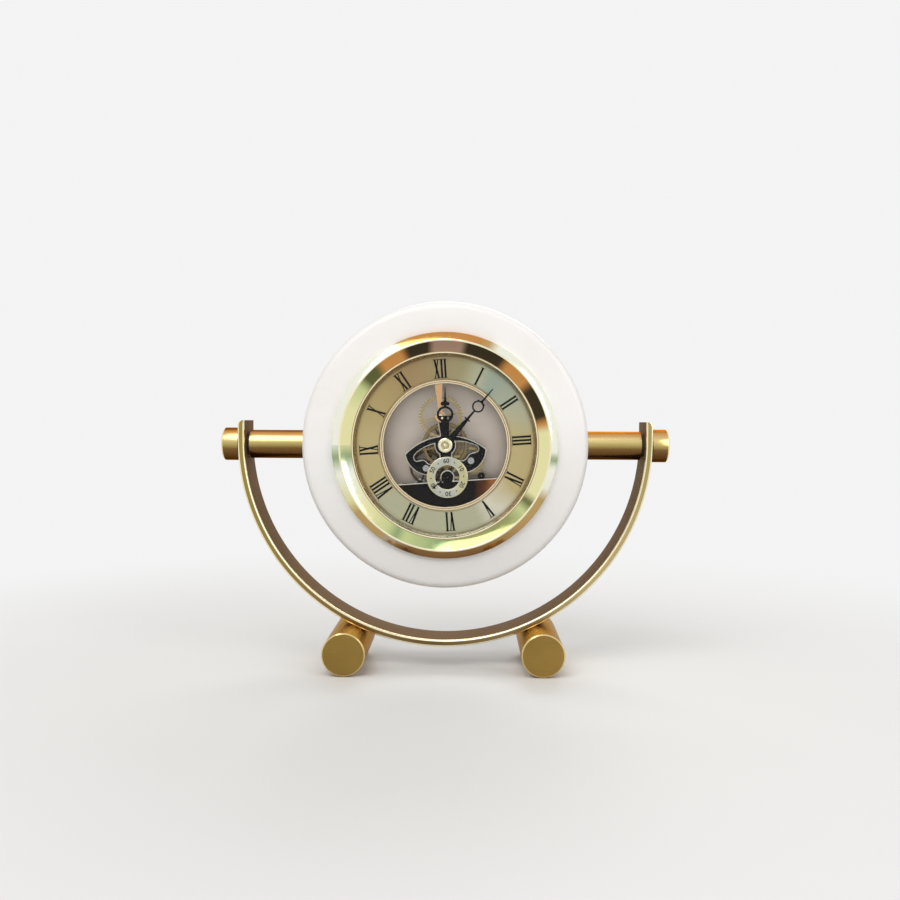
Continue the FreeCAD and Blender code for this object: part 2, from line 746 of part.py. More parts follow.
def make_washers():
    pieces = []
    bore = size.stud_radius + size.running_gap
    for side in (-1, 1):
        near = side * size.bow_radius
        far = side * (size.bow_radius + size.washer_thickness)
        radius = size.washer_radius
        piece = turned("X", [(near, bore), (near, radius), (far, radius), (far, bore)])
        tie(piece, "Placement.Base.z", pivot_height)
        pieces.append(piece)
    return node("pivot_washers", "stand", *pieces)


# Ring and its rods, in the head frame, with the pivot axis as X


def make_ring():
    radius, bore = ring_radius, bore_radius
    body = tube(radius, bore, -ring_half, ring_half)

    def at_radius(wanted):
        return lambda edge: (
            isinstance(edge.Curve, Part.Circle)
            and abs(edge.Curve.Radius - wanted.number) < size.fit_gap.number
        )

    rounded(body, size.ring_round, at_radius(radius))
    rounded(body, size.bore_round, at_radius(bore))
    tools = []
    for side in (-1, 1):
        outside = radius + size.overrun
        for hole, depth in (
            (size.rod_radius + size.rod_gap, rod_start),
            (size.nut_radius + size.fit_gap, nut_start),
        ):
            low, high = (depth, outside) if side > 0 else (-outside, -depth)
            tools.append(cylinder("X", hole, low, high))
    return node("moon_ring", "head", cut(body, *tools))


def x_tube(side, outer, inner, start, end):
    near, far = side * start, side * end
    return turned("X", [(near, inner), (near, outer), (far, outer), (far, inner)])


def make_cap(side):
    """A blind nut with bevelled rims."""
    start, end = side * cap_start, side * (cap_start + size.cap_length)
    bevel = side * size.cap_bevel
    hole_end = side * (stud_end + size.pivot_play)
    bore = size.stud_radius + size.fit_gap
    rim = size.cap_radius - size.cap_bevel
    corners = [
        (start, bore),
        (start, rim),
        (start + bevel, size.cap_radius),
        (end - bevel, size.cap_radius),
        (end, rim),
        (end, 0),
        (hole_end, 0),
        (hole_end, bore),
    ]
    return turned("X", corners)


def make_studs():
    pieces = []
    for side in (-1, 1):
        low, high = (nut_start, stud_end) if side > 0 else (-stud_end, -nut_start)
        pieces.append(cylinder("X", size.stud_radius, low, high))
    return node("pivot_studs", "head", *pieces)


# Clock insert: bezel, crystal, case, band, dial


def make_bezel():
    lip_front = ring_front - size.lip_height
    seat = crystal_radius + size.crystal_gap
    corners = [
        (seat, ring_front),
        (bezel_radius, ring_front),
        (bezel_radius, ring_front - size.bezel_edge),
        (ridge_radius + size.lip_thickness, ring_front - size.bezel_rise),
        (ridge_radius - size.lip_thickness, ring_front - size.bezel_rise),
        (lip_radius + size.lip_thickness, lip_front - size.lip_thickness),
        (lip_radius, lip_front),
        (lip_radius, crystal_front),
        (seat, crystal_front),
    ]
    return node("bezel", "dial", turned("Y", corners))


def make_case():
    outer, inner = size.case_radius, case_inner
    ledge_front, ledge_back = dial_back, dial_back + size.ledge_thickness
    rear_front = cover_front - size.ledge_thickness
    corners = [
        (outer, ring_front),
        (outer, case_back),
        (inner, case_back),
        (inner, cover_front),
        (ledge_inner, cover_front),
        (ledge_inner, rear_front),
        (inner, rear_front),
        (inner, ledge_back),
        (ledge_inner, ledge_back),
        (ledge_inner, ledge_front),
        (inner, ledge_front),
        (inner, ring_front),
    ]
    return node("insert_case", "dial", cut(turned("Y", corners), *cover_screw_holes()))


def cover_screw_spots():
    reach = cover_screw_circle * math.sqrt(0.5)
    return [(side * reach, end * reach) for side in (-1, 1) for end in (-1, 1)]


def cover_screw_holes():
    hole = size.cover_screw_radius + size.fit_gap
    front = cover_front - size.ledge_thickness - size.overrun
    back = case_back + size.overrun
    return [cylinder("Y", hole, front, back, x, z) for x, z in cover_screw_spots()]


def make_cover_screws():
    pieces = []
    for x, z in cover_screw_spots():
        front = cover_front - size.ledge_thickness
        back = case_back + size.cover_screw_height
        shank = cylinder("Y", size.cover_screw_radius, front, back, x, z)
        head = cylinder("Y", size.cover_screw_head, case_back, back, x, z)
        pieces.append(fuse(shank, head))
    return node("cover_screws", "dial", *pieces)


def make_cover():
    inner = case_inner - size.cover_gap
    body = cylinder("Y", inner, cover_front, case_back)
    through = (cover_front - size.overrun, case_back + size.overrun)
    gap = size.cover_gap
    hole = box(
        (-size.box_half - gap, size.box_half + gap),
        through,
        (-size.box_bottom - gap, gap - size.box_top),
    )
    stem = cylinder("Y", size.stem_radius + size.cover_gap, *through, stem_x, stem_z)
    return node("rear_cover", "dial", cut(body, hole, stem, *cover_screw_holes()))


def make_band():
    """A rubber band with three ribs."""
    inner = size.case_radius + size.fit_gap
    outer = size.case_radius + size.band_thickness
    front = ring_front + size.band_setback
    step = size.band_length / BAND_STEP_COUNT
    corners = [(inner, front)]
    for index in range(BAND_STEP_COUNT):
        raised = outer + size.band_rib if index % 2 else outer
        corners.append((raised, front + index * step))
        corners.append((raised, front + (index + 1) * step))
    corners.append((inner, front + size.band_length))
    return node("grip_band", "dial", turned("Y", corners))


def make_rehaut():
    outer = case_inner - size.fit_gap
    front = crystal_back
    corners = [
        (lip_radius, front),
        (outer, front),
        (outer, dial_front),
        (rehaut_radius, dial_front),
    ]
    return node("dial_rehaut", "dial", turned("Y", corners))


def make_dial_rim():
    front = dial_front - size.rim_height
    outer = size.opening_radius + size.rim_width
    inner = size.opening_radius - size.rim_wall
    middle = size.opening_radius - size.fit_gap
    corners = [
        (inner, front + size.rim_height / 2),
        (size.opening_radius, front),
        (outer - size.rim_wall, front),
        (outer, dial_front),
        (middle, dial_front),
        (middle, dial_back),
        (inner, dial_back),
    ]
    return node("dial_inner_rim", "dial", turned("Y", corners))


# Plates, in shares of the wing's half width where a point shapes an outline
WING_BULGE_SHARES = (0.845, -0.515)
WING_FOOT_SHARES = (0.515, -0.7)
LEFT_WINDOW_SHARES = [
    (0.25, 0.05),
    (0.45, 0.0),
    (0.6, -0.075),
    (0.72, -0.155),
    (0.775, -0.24),
    (0.755, -0.315),
    (0.68, -0.335),
    (0.57, -0.315),
    (0.49, -0.36),
    (0.42, -0.43),
    (0.3, -0.4),
    (0.17, -0.33),
    (0.16, -0.2),
]
RIGHT_WINDOW_SHARES = [
    (0.25, 0.075),
    (0.48, 0.045),
    (0.68, -0.025),
    (0.79, -0.095),
    (0.8, -0.155),
    (0.74, -0.205),
    (0.64, -0.225),
    (0.56, -0.26),
    (0.51, -0.32),
    (0.44, -0.385),
    (0.31, -0.38),
    (0.17, -0.33),
    (0.16, -0.2),
]


def wing_plate(front, thickness):
    """The two-winged plate with its windows, its hub ring and its upper neck."""
    half = float(size.plate_half_width)
    crown, drop = float(size.plate_crown), float(size.tip_drop)
    bulge_x, bulge_z = (share * half for share in WING_BULGE_SHARES)
    foot_x, foot_z = (share * half for share in WING_FOOT_SHARES)
    edges = [
        Part.Arc(spot(-half, -drop), spot(0, crown), spot(half, -drop)).toShape(),
        Part.Arc(spot(half, -drop), spot(bulge_x, bulge_z), spot(foot_x, foot_z)).toShape(),
        Part.LineSegment(spot(foot_x, foot_z), spot(-foot_x, foot_z)).toShape(),
        Part.Arc(spot(-foot_x, foot_z), spot(-bulge_x, bulge_z), spot(-half, -drop)).toShape(),
    ]
    shape = slab(Part.Wire(edges), front, thickness)
    for side, shares in ((-1, LEFT_WINDOW_SHARES), (1, RIGHT_WINDOW_SHARES)):
        curve = Part.BSplineCurve()
        points = [spot(side * x * half, z * half) for x, z in shares]
        curve.interpolate(points, PeriodicFlag=True)
        shape = shape.cut(slab(Part.Wire([curve.toShape()]), front, thickness))
    shape = shape.fuse(disc(size.hub_ring, front, thickness))
    neck = strip_to(size.upper_x, size.upper_z, size.neck_half, size.neck_half, front, thickness)
    boss = disc(size.boss_radius, front, thickness, size.upper_x, size.upper_z)
    return shape.fuse(neck).fuse(boss)


def strip_to(x, z, near_half, far_half, front, thickness, start_x=0, start_z=0):
    """A flat tapered bar from one spot to another."""
    run = distance_of(start_x, start_z, x, z)
    lean = angle_of(start_x, start_z, x, z)
    near, far = float(near_half), float(far_half)
    shape = polygon([(0, -near), (run, -far), (run, far), (0, near)], front, thickness)
    shape.rotate(Vector(0, 0, 0), Vector(0, 1, 0), -lean)
    shape.translate(spot(start_x, start_z))
    return shape


def half_space(low, high, front, thickness):
    """A wide block between two heights."""
    reach = float(size.sector_radius)
    corner = Vector(-reach, float(front), float(low))
    return Part.makeBox(2 * reach, float(thickness), float(high) - float(low), corner)


def seat_ring(front, thickness):
    outer = disc(size.seat_outer, front, thickness, 0, seconds_z)
    return outer.cut(disc(size.seat_inner, front, thickness, 0, seconds_z))


def make_front_plate():
    thickness = size.plate_thickness
    shape = wing_plate(plate_front, thickness).fuse(seat_ring(plate_front, thickness))
    shape = shape.cut(disc(size.seat_inner, plate_front, thickness, 0, seconds_z))
    low = -size.chord_drop + size.plate_gap
    shape = shape.common(half_space(low, 2 * size.upper_z, plate_front, thickness))
    pivot_depth = float(size.plate_thickness) - float(size.dome_bite) - float(size.running_gap)
    upper = disc(
        float(size.pivot_radius) + float(size.running_gap),
        float(plate_back) - pivot_depth,
        pivot_depth,
        size.upper_x,
        size.upper_z,
    )
    domed = disc(
        size.dome_shank + size.fit_gap, plate_front, size.dome_bite, size.upper_x, size.upper_z
    )
    shape = shape.cut(upper).cut(domed)
    shape = shape.cut(pivot_hole(0, 0, size.pipe_radius))
    shape = shape.cut(pivot_hole(size.third_x, third_z))
    for x, z in FRONT_SCREWS:
        shape = shape.cut(pivot_hole(x, z, size.plate_screw_radius))
    return node("front_plate", "dial", shaped(shape.removeSplitter()))


FRONT_SCREWS = [(size.left_x, size.left_z), (size.right_x, size.right_z)]
LOWER_PILLARS = [(side * size.pillar_offset, -size.pillar_drop) for side in (-1, 1)]
REAR_SCREWS = [(size.upper_x, size.upper_z), *LOWER_PILLARS]


def make_lower_plate():
    sector = common(
        cylinder("Y", size.sector_radius, plate_front, plate_back),
        box(
            (-size.sector_radius, size.sector_radius),
            (plate_front, plate_back),
            (-size.sector_radius, -size.chord_drop),
        ),
    )
    boss = cylinder("Y", size.omega_radius, plate_front, plate_back, 0, seconds_z)
    hole = cylinder(
        "Y",
        size.arbor_radius + size.running_gap,
        plate_front - size.overrun,
        plate_back + size.overrun,
        0,
        seconds_z,
    )
    return node("lower_plate", "dial", cut(fuse(sector, boss), hole))


def rear_plate(label, front, holes):
    """The middle plate or the back plate, with an apron hidden by the lower plate."""
    thickness = size.rear_plate_thickness
    top = -size.chord_drop - size.apron_setback
    apron = Part.makeBox(
        2 * float(size.apron_half),
        float(thickness),
        float(top) + float(size.apron_bottom),
        Vector(-float(size.apron_half), float(front), -float(size.apron_bottom)),
    )
    seconds_bar = strip_to(
        0, -size.apron_bottom, size.pivot_boss, size.pivot_boss, front, thickness, 0, seconds_z
    )
    shape = wing_plate(front, thickness)
    shape = shape.cut(disc(size.seat_inner, front, thickness, 0, seconds_z))
    shape = united(
        shape,
        seat_ring(front, thickness),
        apron,
        seconds_bar,
        disc(size.pivot_boss, front, thickness, 0, seconds_z),
        disc(size.pivot_boss, front, thickness, stem_x, stem_z),
        disc(size.pivot_boss, front, thickness, rotor_x, rotor_z),
    )
    shape = shape.common(half_space(-size.apron_bottom, 2 * size.upper_z, front, thickness))
    for x, z, radius in holes:
        shape = shape.cut(pivot_hole(x, z, radius))
    return node(label, "dial", shaped(shape))


def make_rear_plates():
    shared = [
        (0, 0, size.cannon_radius),
        (size.left_x, size.left_z, None),
        (size.right_x, size.right_z, None),
        (rotor_x, rotor_z, None),
    ]
    middle = [
        *shared,
        (stem_x, stem_z, None),
        (0, seconds_z, size.arbor_radius),
        (size.third_x, third_z, None),
        (size.upper_x, size.upper_z, None),
    ]
    rear = [*shared, (stem_x, stem_z, size.stem_radius), (0, seconds_z, None)]
    rear += [(x, z, size.plate_screw_radius) for x, z in REAR_SCREWS]
    rear_plate("middle_plate", middle_front, middle)
    rear_plate("back_plate", back_front, rear)


def make_pillars():
    bite = size.plate_screw_bite
    hole = size.plate_screw_radius + size.fit_gap
    pieces = []
    for x, z in FRONT_SCREWS:
        post = cylinder("Y", size.pillar_radius, plate_back, middle_front, x, z)
        tapped = cylinder("Y", hole, plate_back - size.overrun, plate_back + bite, x, z)
        pieces.append(cut(post, tapped))
    for x, z in LOWER_PILLARS:
        pieces.append(cylinder("Y", size.pillar_radius, plate_back, middle_front, x, z))
    for x, z in REAR_SCREWS:
        start = middle_back
        if z is size.upper_z:
            start = middle_back + size.pivot_length
        post = cylinder("Y", size.pillar_radius, start, back_front, x, z)
        tapped = cylinder("Y", hole, back_front - bite, back_front + size.overrun, x, z)
        pieces.append(cut(post, tapped))
    return node("plate_pillars", "dial", *pieces)


def make_plate_screws():
    bite = size.plate_screw_bite
    pieces = []
    for x, z in FRONT_SCREWS:
        front = plate_front - size.plate_screw_height
        shank = cylinder("Y", size.plate_screw_radius, front, plate_back + bite, x, z)
        head = cylinder("Y", size.plate_screw_head, front, plate_front, x, z)
        pieces.append(fuse(shank, head))
    for x, z in REAR_SCREWS:
        back = back_back + size.plate_screw_height
        shank = cylinder("Y", size.plate_screw_radius, back_front - bite, back, x, z)
        head = cylinder("Y", size.plate_screw_head, back_back, back, x, z)
        pieces.append(fuse(shank, head))
    return node("plate_screws", "dial", *pieces)


def make_bridge():
    """The tapered bridge from the upper boss to the dial, with a tab behind the dial."""
    front, thickness = dial_front, size.dial_thickness
    opening = float(size.opening_radius) - float(size.rim_wall) - float(size.fit_gap)
    x, z = size.upper_x, size.upper_z
    end = math.sqrt(opening**2 - (abs(float(x)) + float(size.bridge_top_half)) ** 2)
    strip = strip_to(x, end, size.bridge_foot_half, size.bridge_top_half, front, thickness, x, z)
    tab_start = end - float(size.rim_width)
    half = float(size.bridge_top_half)
    tab = Part.makeBox(
        2 * half,
        float(size.plate_thickness),
        float(size.rim_width) + float(size.bridge_overlap),
        Vector(float(x) - half, float(dial_back), tab_start),
    )
    boss = disc(size.boss_radius, front, thickness, x, z)
    hole = disc(size.dome_shank + size.fit_gap, front, thickness, x, z)
    return node("upper_bridge", "dial", shaped(united(strip, tab, boss).cut(hole)))


def make_bridge_screw():
    shank = size.dome_shank
    end = plate_front + size.dome_bite
    shoulder = size.dome_radius - size.dome_height
    corners = [
        (0, dial_front - size.dome_height),
        (shoulder, dial_front - size.dome_height),
        (size.dome_radius, dial_front),
        (shank, dial_front),
        (shank, end),
        (0, end),
    ]
    body = turned("Y", corners)
    place(body, size.upper_x, 0, size.upper_z, TURNS["Z"])
    return node("bridge_screw", "dial", body)


# Wheels


def directions():
    """Directions in degrees from one arbor to the next."""
    return SimpleNamespace(
        upper=angle_of(0, 0, size.upper_x, size.upper_z),
        right=angle_of(0, 0, size.right_x, size.right_z),
        stem=float(size.stem_angle),
        third=angle_of(0, seconds_z, size.third_x, third_z),
        centre=angle_of(size.third_x, third_z, 0, 0),
        left=angle_of(0, seconds_z, size.left_x, size.left_z),
        rotor=float(size.rotor_angle),
    )


toward = directions()


def split(distance, teeth, other_teeth):
    """The pitch radius of the first of two wheels in mesh."""
    return float(distance) * teeth / (teeth + other_teeth)


upper_distance = distance_of(0, 0, size.upper_x, size.upper_z)
third_distance = distance_of(0, seconds_z, size.third_x, third_z)
left_distance = distance_of(0, seconds_z, size.left_x, size.left_z)
right_phase = mesh_phase(toward.right, toward.right, SETTING_WHEEL_COUNT, RIGHT_WHEEL_COUNT)


def make_minute_arbor():
    """The arbor of the minute hand with its cannon pinion, clutch collar and setting wheel."""
    front = float(cap_back) - float(size.hand_thickness)
    back = float(back_back)
    cannon = split(upper_distance, CANNON_PINION_COUNT, UPPER_WHEEL_COUNT)
    setting = split(right_distance, SETTING_WHEEL_COUNT, RIGHT_WHEEL_COUNT)
    collar_start = float(centre_layer) + float(size.wheel_thickness) + float(size.clutch_gap)
    shape = united(
        disc(size.cannon_radius, front, back - front),
        gear(CANNON_PINION_COUNT, cannon, toward.upper, 0, 0, cannon_layer),
        disc(size.clutch_radius, collar_start, size.wheel_thickness),
        gear(SETTING_WHEEL_COUNT, setting, toward.right, 0, 0, setting_layer, size.wheel_hub),
    )
    return node("minute_arbor", "dial", shaped(shape))


def make_hour_wheel():
    radius = split(upper_distance, HOUR_WHEEL_COUNT, UPPER_PINION_COUNT)
    phase = mesh_phase(toward.upper + 180, toward.upper + 180, UPPER_PINION_COUNT, HOUR_WHEEL_COUNT)
    front = float(hour_hand_back) - float(size.hand_thickness)
    back = float(hour_layer) + float(size.wheel_thickness)
    shape = united(
        disc(size.pipe_radius, front, back - front),
        gear(HOUR_WHEEL_COUNT, radius, phase, 0, 0, hour_layer, size.hour_boss),
    ).cut(pivot_hole(0, 0, size.cannon_radius))
    return node("hour_wheel", "dial", shaped(shape))


def make_upper_wheel():
    x, z = size.upper_x, size.upper_z
    radius = split(upper_distance, UPPER_WHEEL_COUNT, CANNON_PINION_COUNT)
    pinion = split(upper_distance, UPPER_PINION_COUNT, HOUR_WHEEL_COUNT)
    phase = mesh_phase(toward.upper, toward.upper, CANNON_PINION_COUNT, UPPER_WHEEL_COUNT)
    front = float(plate_back)
    pin = float(size.plate_thickness) - float(size.dome_bite) - 4 * float(size.running_gap)
    shake = float(size.end_shake)
    length = float(middle_front) - front - 2 * shake
    shape = united(
        disc(size.arbor_radius, front + shake, length, x, z),
        disc(size.pivot_radius, front - pin / 2, pin / 2 + shake, x, z),
        disc(size.pivot_radius, float(middle_front) - shake, size.pivot_length + shake, x, z),
        gear(UPPER_PINION_COUNT, pinion, toward.upper + 180, x, z, hour_layer),
        gear(UPPER_WHEEL_COUNT, radius, phase, x, z, cannon_layer, size.wheel_hub),
    )
    return node("minute_work_wheel", "dial", shaped(shape))


def make_right_wheel():
    x, z = size.right_x, size.right_z
    radius = split(right_distance, RIGHT_WHEEL_COUNT, SETTING_WHEEL_COUNT)
    shape = united(
        arbor(x, z, middle_back, back_front),
        gear(RIGHT_WHEEL_COUNT, radius, right_phase, x, z, setting_layer, size.wheel_hub),
    )
    return node("setting_wheel", "dial", shaped(shape))


def make_stem():
    """The setting stem: a pinion between the plates and a shaft out to the knob."""
    radius = split(stem_distance, STEM_PINION_COUNT, RIGHT_WHEEL_COUNT)
    phase = mesh_phase(toward.stem, right_phase, RIGHT_WHEEL_COUNT, STEM_PINION_COUNT)
    shake = float(size.end_shake)
    front = float(middle_back) + shake
    end = float(case_back) + float(size.knob_lift) + float(size.knob_length) / 2
    pin = float(size.pivot_length) + shake
    shape = united(
        disc(size.stem_radius, front, end - front, stem_x, stem_z),
        disc(size.pivot_radius, front - pin, pin, stem_x, stem_z),
        gear(STEM_PINION_COUNT, radius, phase, stem_x, stem_z, setting_layer),
    )
    return node("setting_stem", "dial", shaped(shape))


def make_knob():
    """A fluted knob pressed on the setting stem."""
    start = case_back + size.knob_lift
    end = start + size.knob_length
    bevel = size.flute_radius
    bore = size.stem_radius + size.fit_gap
    blind = start + size.knob_length / 2 + size.end_shake
    body = turned(
        "Y",
        [
            (bore, start),
            (size.knob_radius, start),
            (size.knob_radius, end - bevel),
            (size.knob_radius - bevel, end),
            (0, end),
            (0, blind),
            (bore, blind),
        ],
    )
    through = (start - size.overrun, end + size.overrun)
    flutes = []
    for index in range(FLUTE_COUNT):
        turn = math.radians(index * 360 / FLUTE_COUNT)
        x = size.knob_radius * math.cos(turn)
        z = size.knob_radius * math.sin(turn)
        flutes.append(cylinder("Y", size.flute_radius, *through, x, z))
    knob = cut(body, *flutes)
    place(knob, stem_x, 0, stem_z, TURNS["Z"])
    return node("set_knob", "dial", knob)


def make_seconds_wheel():
    """The seconds arbor: it carries the seconds hand in front and the driven wheel behind."""
    pinion = split(third_distance, SECONDS_PINION_COUNT, THIRD_WHEEL_COUNT)
    radius = split(left_distance, SECONDS_WHEEL_COUNT, LEFT_PINION_COUNT)
    shake = float(size.end_shake)
    front = float(seconds_front) - float(size.hand_step)
    back = float(back_front) - shake
    shape = united(
        disc(size.arbor_radius, front, back - front, 0, seconds_z),
        disc(size.pivot_radius, back, float(size.pivot_length) + shake, 0, seconds_z),
        gear(SECONDS_PINION_COUNT, pinion, toward.third, 0, seconds_z, third_layer),
        gear(SECONDS_WHEEL_COUNT, radius, toward.left, 0, seconds_z, seconds_layer, size.wheel_hub),
    )
    return node("seconds_wheel", "dial", shaped(shape))


def make_third_wheel():
    x, z = size.third_x, third_z
    radius = split(third_distance, THIRD_WHEEL_COUNT, SECONDS_PINION_COUNT)
    pinion = split(centre_distance, THIRD_PINION_COUNT, CENTRE_WHEEL_COUNT)
    phase = mesh_phase(toward.third, toward.third, SECONDS_PINION_COUNT, THIRD_WHEEL_COUNT)
    shape = united(
        arbor(x, z, plate_back, middle_front),
        gear(THIRD_WHEEL_COUNT, radius, phase, x, z, third_layer, size.wheel_hub),
        gear(THIRD_PINION_COUNT, pinion, toward.centre, x, z, centre_layer),
    )
    return node("third_wheel", "dial", shaped(shape))


def make_centre_wheel():
    """The centre wheel drives the minute arbor through a friction collar."""
    phase = mesh_phase(toward.centre, toward.centre, THIRD_PINION_COUNT, CENTRE_WHEEL_COUNT)
    shape = gear(
        CENTRE_WHEEL_COUNT, size.centre_radius, phase, 0, 0, centre_layer, size.clutch_radius
    ).cut(pivot_hole(0, 0, size.cannon_radius))
    return node("centre_wheel", "dial", shaped(shape))


def make_left_wheel():
    x, z = size.left_x, size.left_z
    pinion = split(left_distance, LEFT_PINION_COUNT, SECONDS_WHEEL_COUNT)
    phase = mesh_phase(toward.left, toward.left, SECONDS_WHEEL_COUNT, LEFT_PINION_COUNT)
    shape = united(
        arbor(x, z, middle_back, back_front),
        gear(LEFT_PINION_COUNT, pinion, phase, x, z, seconds_layer),
        gear(LEFT_WHEEL_COUNT, size.left_radius, toward.rotor, x, z, left_layer, size.wheel_hub),
    )
    return node("intermediate_wheel", "dial", shaped(shape))


def make_rotor():
    x, z = rotor_x, rotor_z
    pinion = split(rotor_distance, ROTOR_PINION_COUNT, LEFT_WHEEL_COUNT)
    phase = mesh_phase(toward.rotor, toward.rotor, LEFT_WHEEL_COUNT, ROTOR_PINION_COUNT)
    magnet_front = setting_layer - (size.rotor_magnet_length - size.wheel_thickness) / 2
    shape = united(
        arbor(x, z, middle_back, back_front),
        gear(ROTOR_PINION_COUNT, pinion, phase, x, z, left_layer),
        disc(size.rotor_magnet, magnet_front, size.rotor_magnet_length, x, z),
    )
    return node("rotor", "dial", shaped(shape))


# Hands; each is drawn towards twelve and then turned clockwise.
# Shares of the hand's length: a disc is (sideways, along, radius),
# a bar is (start, end, half width at the start, half width at the end).
HOUR_EYE_SHARE = (0, 0.534, 0.143)
HOUR_OPENING_SHARE = (0, 0.534, 0.107)
HOUR_PIN_SHARES = [(-0.05, 0.47, 0.022), (0.05, 0.47, 0.022)]
HOUR_LOBE_SHARES = [(-0.045, 0.72, 0.032), (0.045, 0.72, 0.032), (0, 0.752, 0.032)]
HOUR_BAR_SHARES = [
    (0, 0.44, 0.066, 0.066),
    (0.66, 0.75, 0.021, 0.021),
    (0.73, 1, 0.022, 0.006),
]
MINUTE_EYE_SHARE = (0, 0.689, 0.082)
MINUTE_OPENING_SHARE = (0, 0.689, 0.061)
MINUTE_HORN_SHARES = [(-0.047, 0.757, 0.012), (0.047, 0.757, 0.012)]
MINUTE_BAR_SHARES = [
    (0, 0.46, 0.053, 0.021),
    (0.453, 0.473, 0.045, 0.045),
    (0.46, 0.62, 0.018, 0.012),
    (0.765, 0.785, 0.03, 0.012),
    (0.76, 1, 0.014, 0.005),
]
SECONDS_BAR_SHARES = [(0, 1, 0.045, 0.02), (-0.33, 0, 0.055, 0.04)]


def pointed(label, shape, angle, x=0, z=0):
    """Turns a hand clockwise about its own hub."""
    shape.rotate(Vector(0, 0, 0), Vector(0, 1, 0), float(angle))
    shape.translate(spot(x, z))
    return node(label, "dial", shaped(shape))


def bars(reach, front, rows):
    """The tapered lengths of a hand."""
    shapes = []
    for start, end, near, far in rows:
        corners = [(-near, start), (-far, end), (far, end), (near, start)]
        points = [(x * reach, z * reach) for x, z in corners]
        shapes.append(polygon(points, front, size.hand_thickness))
    return shapes


def discs(reach, front, rows):
    """The round parts of a hand."""
    thickness = size.hand_thickness
    return [disc(radius * reach, front, thickness, x * reach, z * reach) for x, z, radius in rows]


def make_hour_hand():
    reach = float(size.hour_reach)
    front = float(hour_hand_back) - float(size.hand_thickness)
    thickness = size.hand_thickness
    (eye,) = discs(reach, front, [HOUR_EYE_SHARE])
    (opening,) = discs(reach, front, [HOUR_OPENING_SHARE])
    pin_z, pin_radius = HOUR_PIN_SHARES[0][1:]
    floor = reach * (HOUR_EYE_SHARE[1] - pin_radius)
    eye = eye.cut(opening.common(half_space(floor, reach, front, thickness)))
    for pin in discs(reach, front, HOUR_PIN_SHARES):
        eye = eye.cut(pin)
    shape = united(
        disc(size.hour_hub, front, thickness),
        eye,
        *bars(reach, front, HOUR_BAR_SHARES),
        *discs(reach, front, HOUR_LOBE_SHARES),
    ).cut(pivot_hole(0, 0, size.pipe_radius))
    return pointed("hour_hand", shape, size.hour_angle)


def make_minute_hand():
    reach = float(size.minute_reach)
    front = float(minute_hand_back) - float(size.hand_thickness)
    shape = united(
        disc(size.minute_hub, front, size.hand_thickness),
        *discs(reach, front, [MINUTE_EYE_SHARE, *MINUTE_HORN_SHARES]),
        *bars(reach, front, MINUTE_BAR_SHARES),
    )
    (opening,) = discs(reach, front, [MINUTE_OPENING_SHARE])
    shape = shape.cut(opening).cut(pivot_hole(0, 0, size.cannon_radius))
    return pointed("minute_hand", shape, size.minute_angle)


def make_seconds_hand():
    reach = float(size.seconds_reach)
    front = float(seconds_front) - float(size.layer_gap) - float(size.hand_thickness)
    shape = united(
        disc(size.seconds_hub, front, size.hand_thickness),
        *bars(reach, front, SECONDS_BAR_SHARES),
    ).cut(pivot_hole(0, 0, size.arbor_radius))
    return pointed("seconds_hand", shape, size.seconds_angle, 0, seconds_z)


# The cap's outline from its rim to its middle: (share of the radius, share of the height)
CAP_OUTLINE_SHARES = [(1, 0.5), (0.86, 0.25), (0.5, 0.12), (0.46, 0.33), (0.36, 0.33), (0.3, 0)]


def make_hand_cap():
    """A domed cap with a stepped centre."""
    radius, height = size.cap_screw_radius, size.cap_screw_height
    front = cap_back - height
    bore = size.cannon_radius + size.fit_gap
    bore_end = cap_back - size.hand_thickness - size.end_shake
    outline = [(radius * across, front + height * up) for across, up in CAP_OUTLINE_SHARES]
    corners = [(bore, cap_back), (radius, cap_back), *outline]
    corners += [(0, front), (0, bore_end), (bore, bore_end)]
    return node("hand_cap", "dial", turned("Y", corners))


def make_seconds_ring():
    body = tube(size.seconds_outer, size.seconds_inner, seconds_front, plate_front)
    place(body, 0, 0, seconds_z, TURNS["Z"])
    return node("seconds_ring", "dial", body)


# Power: battery, box, door, contacts, motor and board
box_middle = -(size.box_top + size.box_bottom) / 2
box_back = case_back
battery_middle = plate_back + size.box_wall + size.battery_radius + size.layer_gap


def make_battery_box():
    wall = size.box_wall
    half = size.box_half
    outer = box((-half, half), (plate_back, box_back), (-size.box_bottom, -size.box_top))
    inner = box(
        (wall - half, half - wall),
        (plate_back + wall, box_back + size.overrun),
        (wall - size.box_bottom, -size.box_top - wall),
    )
    return node("battery_box", "dial", cut(outer, inner))


def make_battery():
    half = size.battery_length / 2
    can = cylinder("X", size.battery_radius, -half, half - size.terminal_length)
    terminal = cylinder("X", size.terminal_radius, -half, half)
    cell = fuse(can, terminal)
    place(cell, 0, battery_middle, box_middle, TURNS["Z"])
    return node("battery", "dial", cell)


def make_contacts():
    """A folded spring leaf at each end of the battery."""
    reach = size.box_half - size.box_wall
    end = size.battery_length / 2
    sheet_of = size.contact_thickness
    half = size.contact_half
    depth = (battery_middle - half, battery_middle + half)
    rise = (box_middle - half, box_middle + half)
    short = (box_middle - half, box_middle - half + sheet_of)
    pieces = []
    for side in (-1, 1):
        spans = [
            (reach - sheet_of, reach, rise),
            (end, end + sheet_of, rise),
            (end, reach, short),
        ]
        leaves = []
        for low, high, height in spans:
            ends = (low, high) if side > 0 else (-high, -low)
            leaves.append(box(ends, depth, height))
        pieces.append(fuse(*leaves))
    return node("battery_contacts", "dial", *pieces)


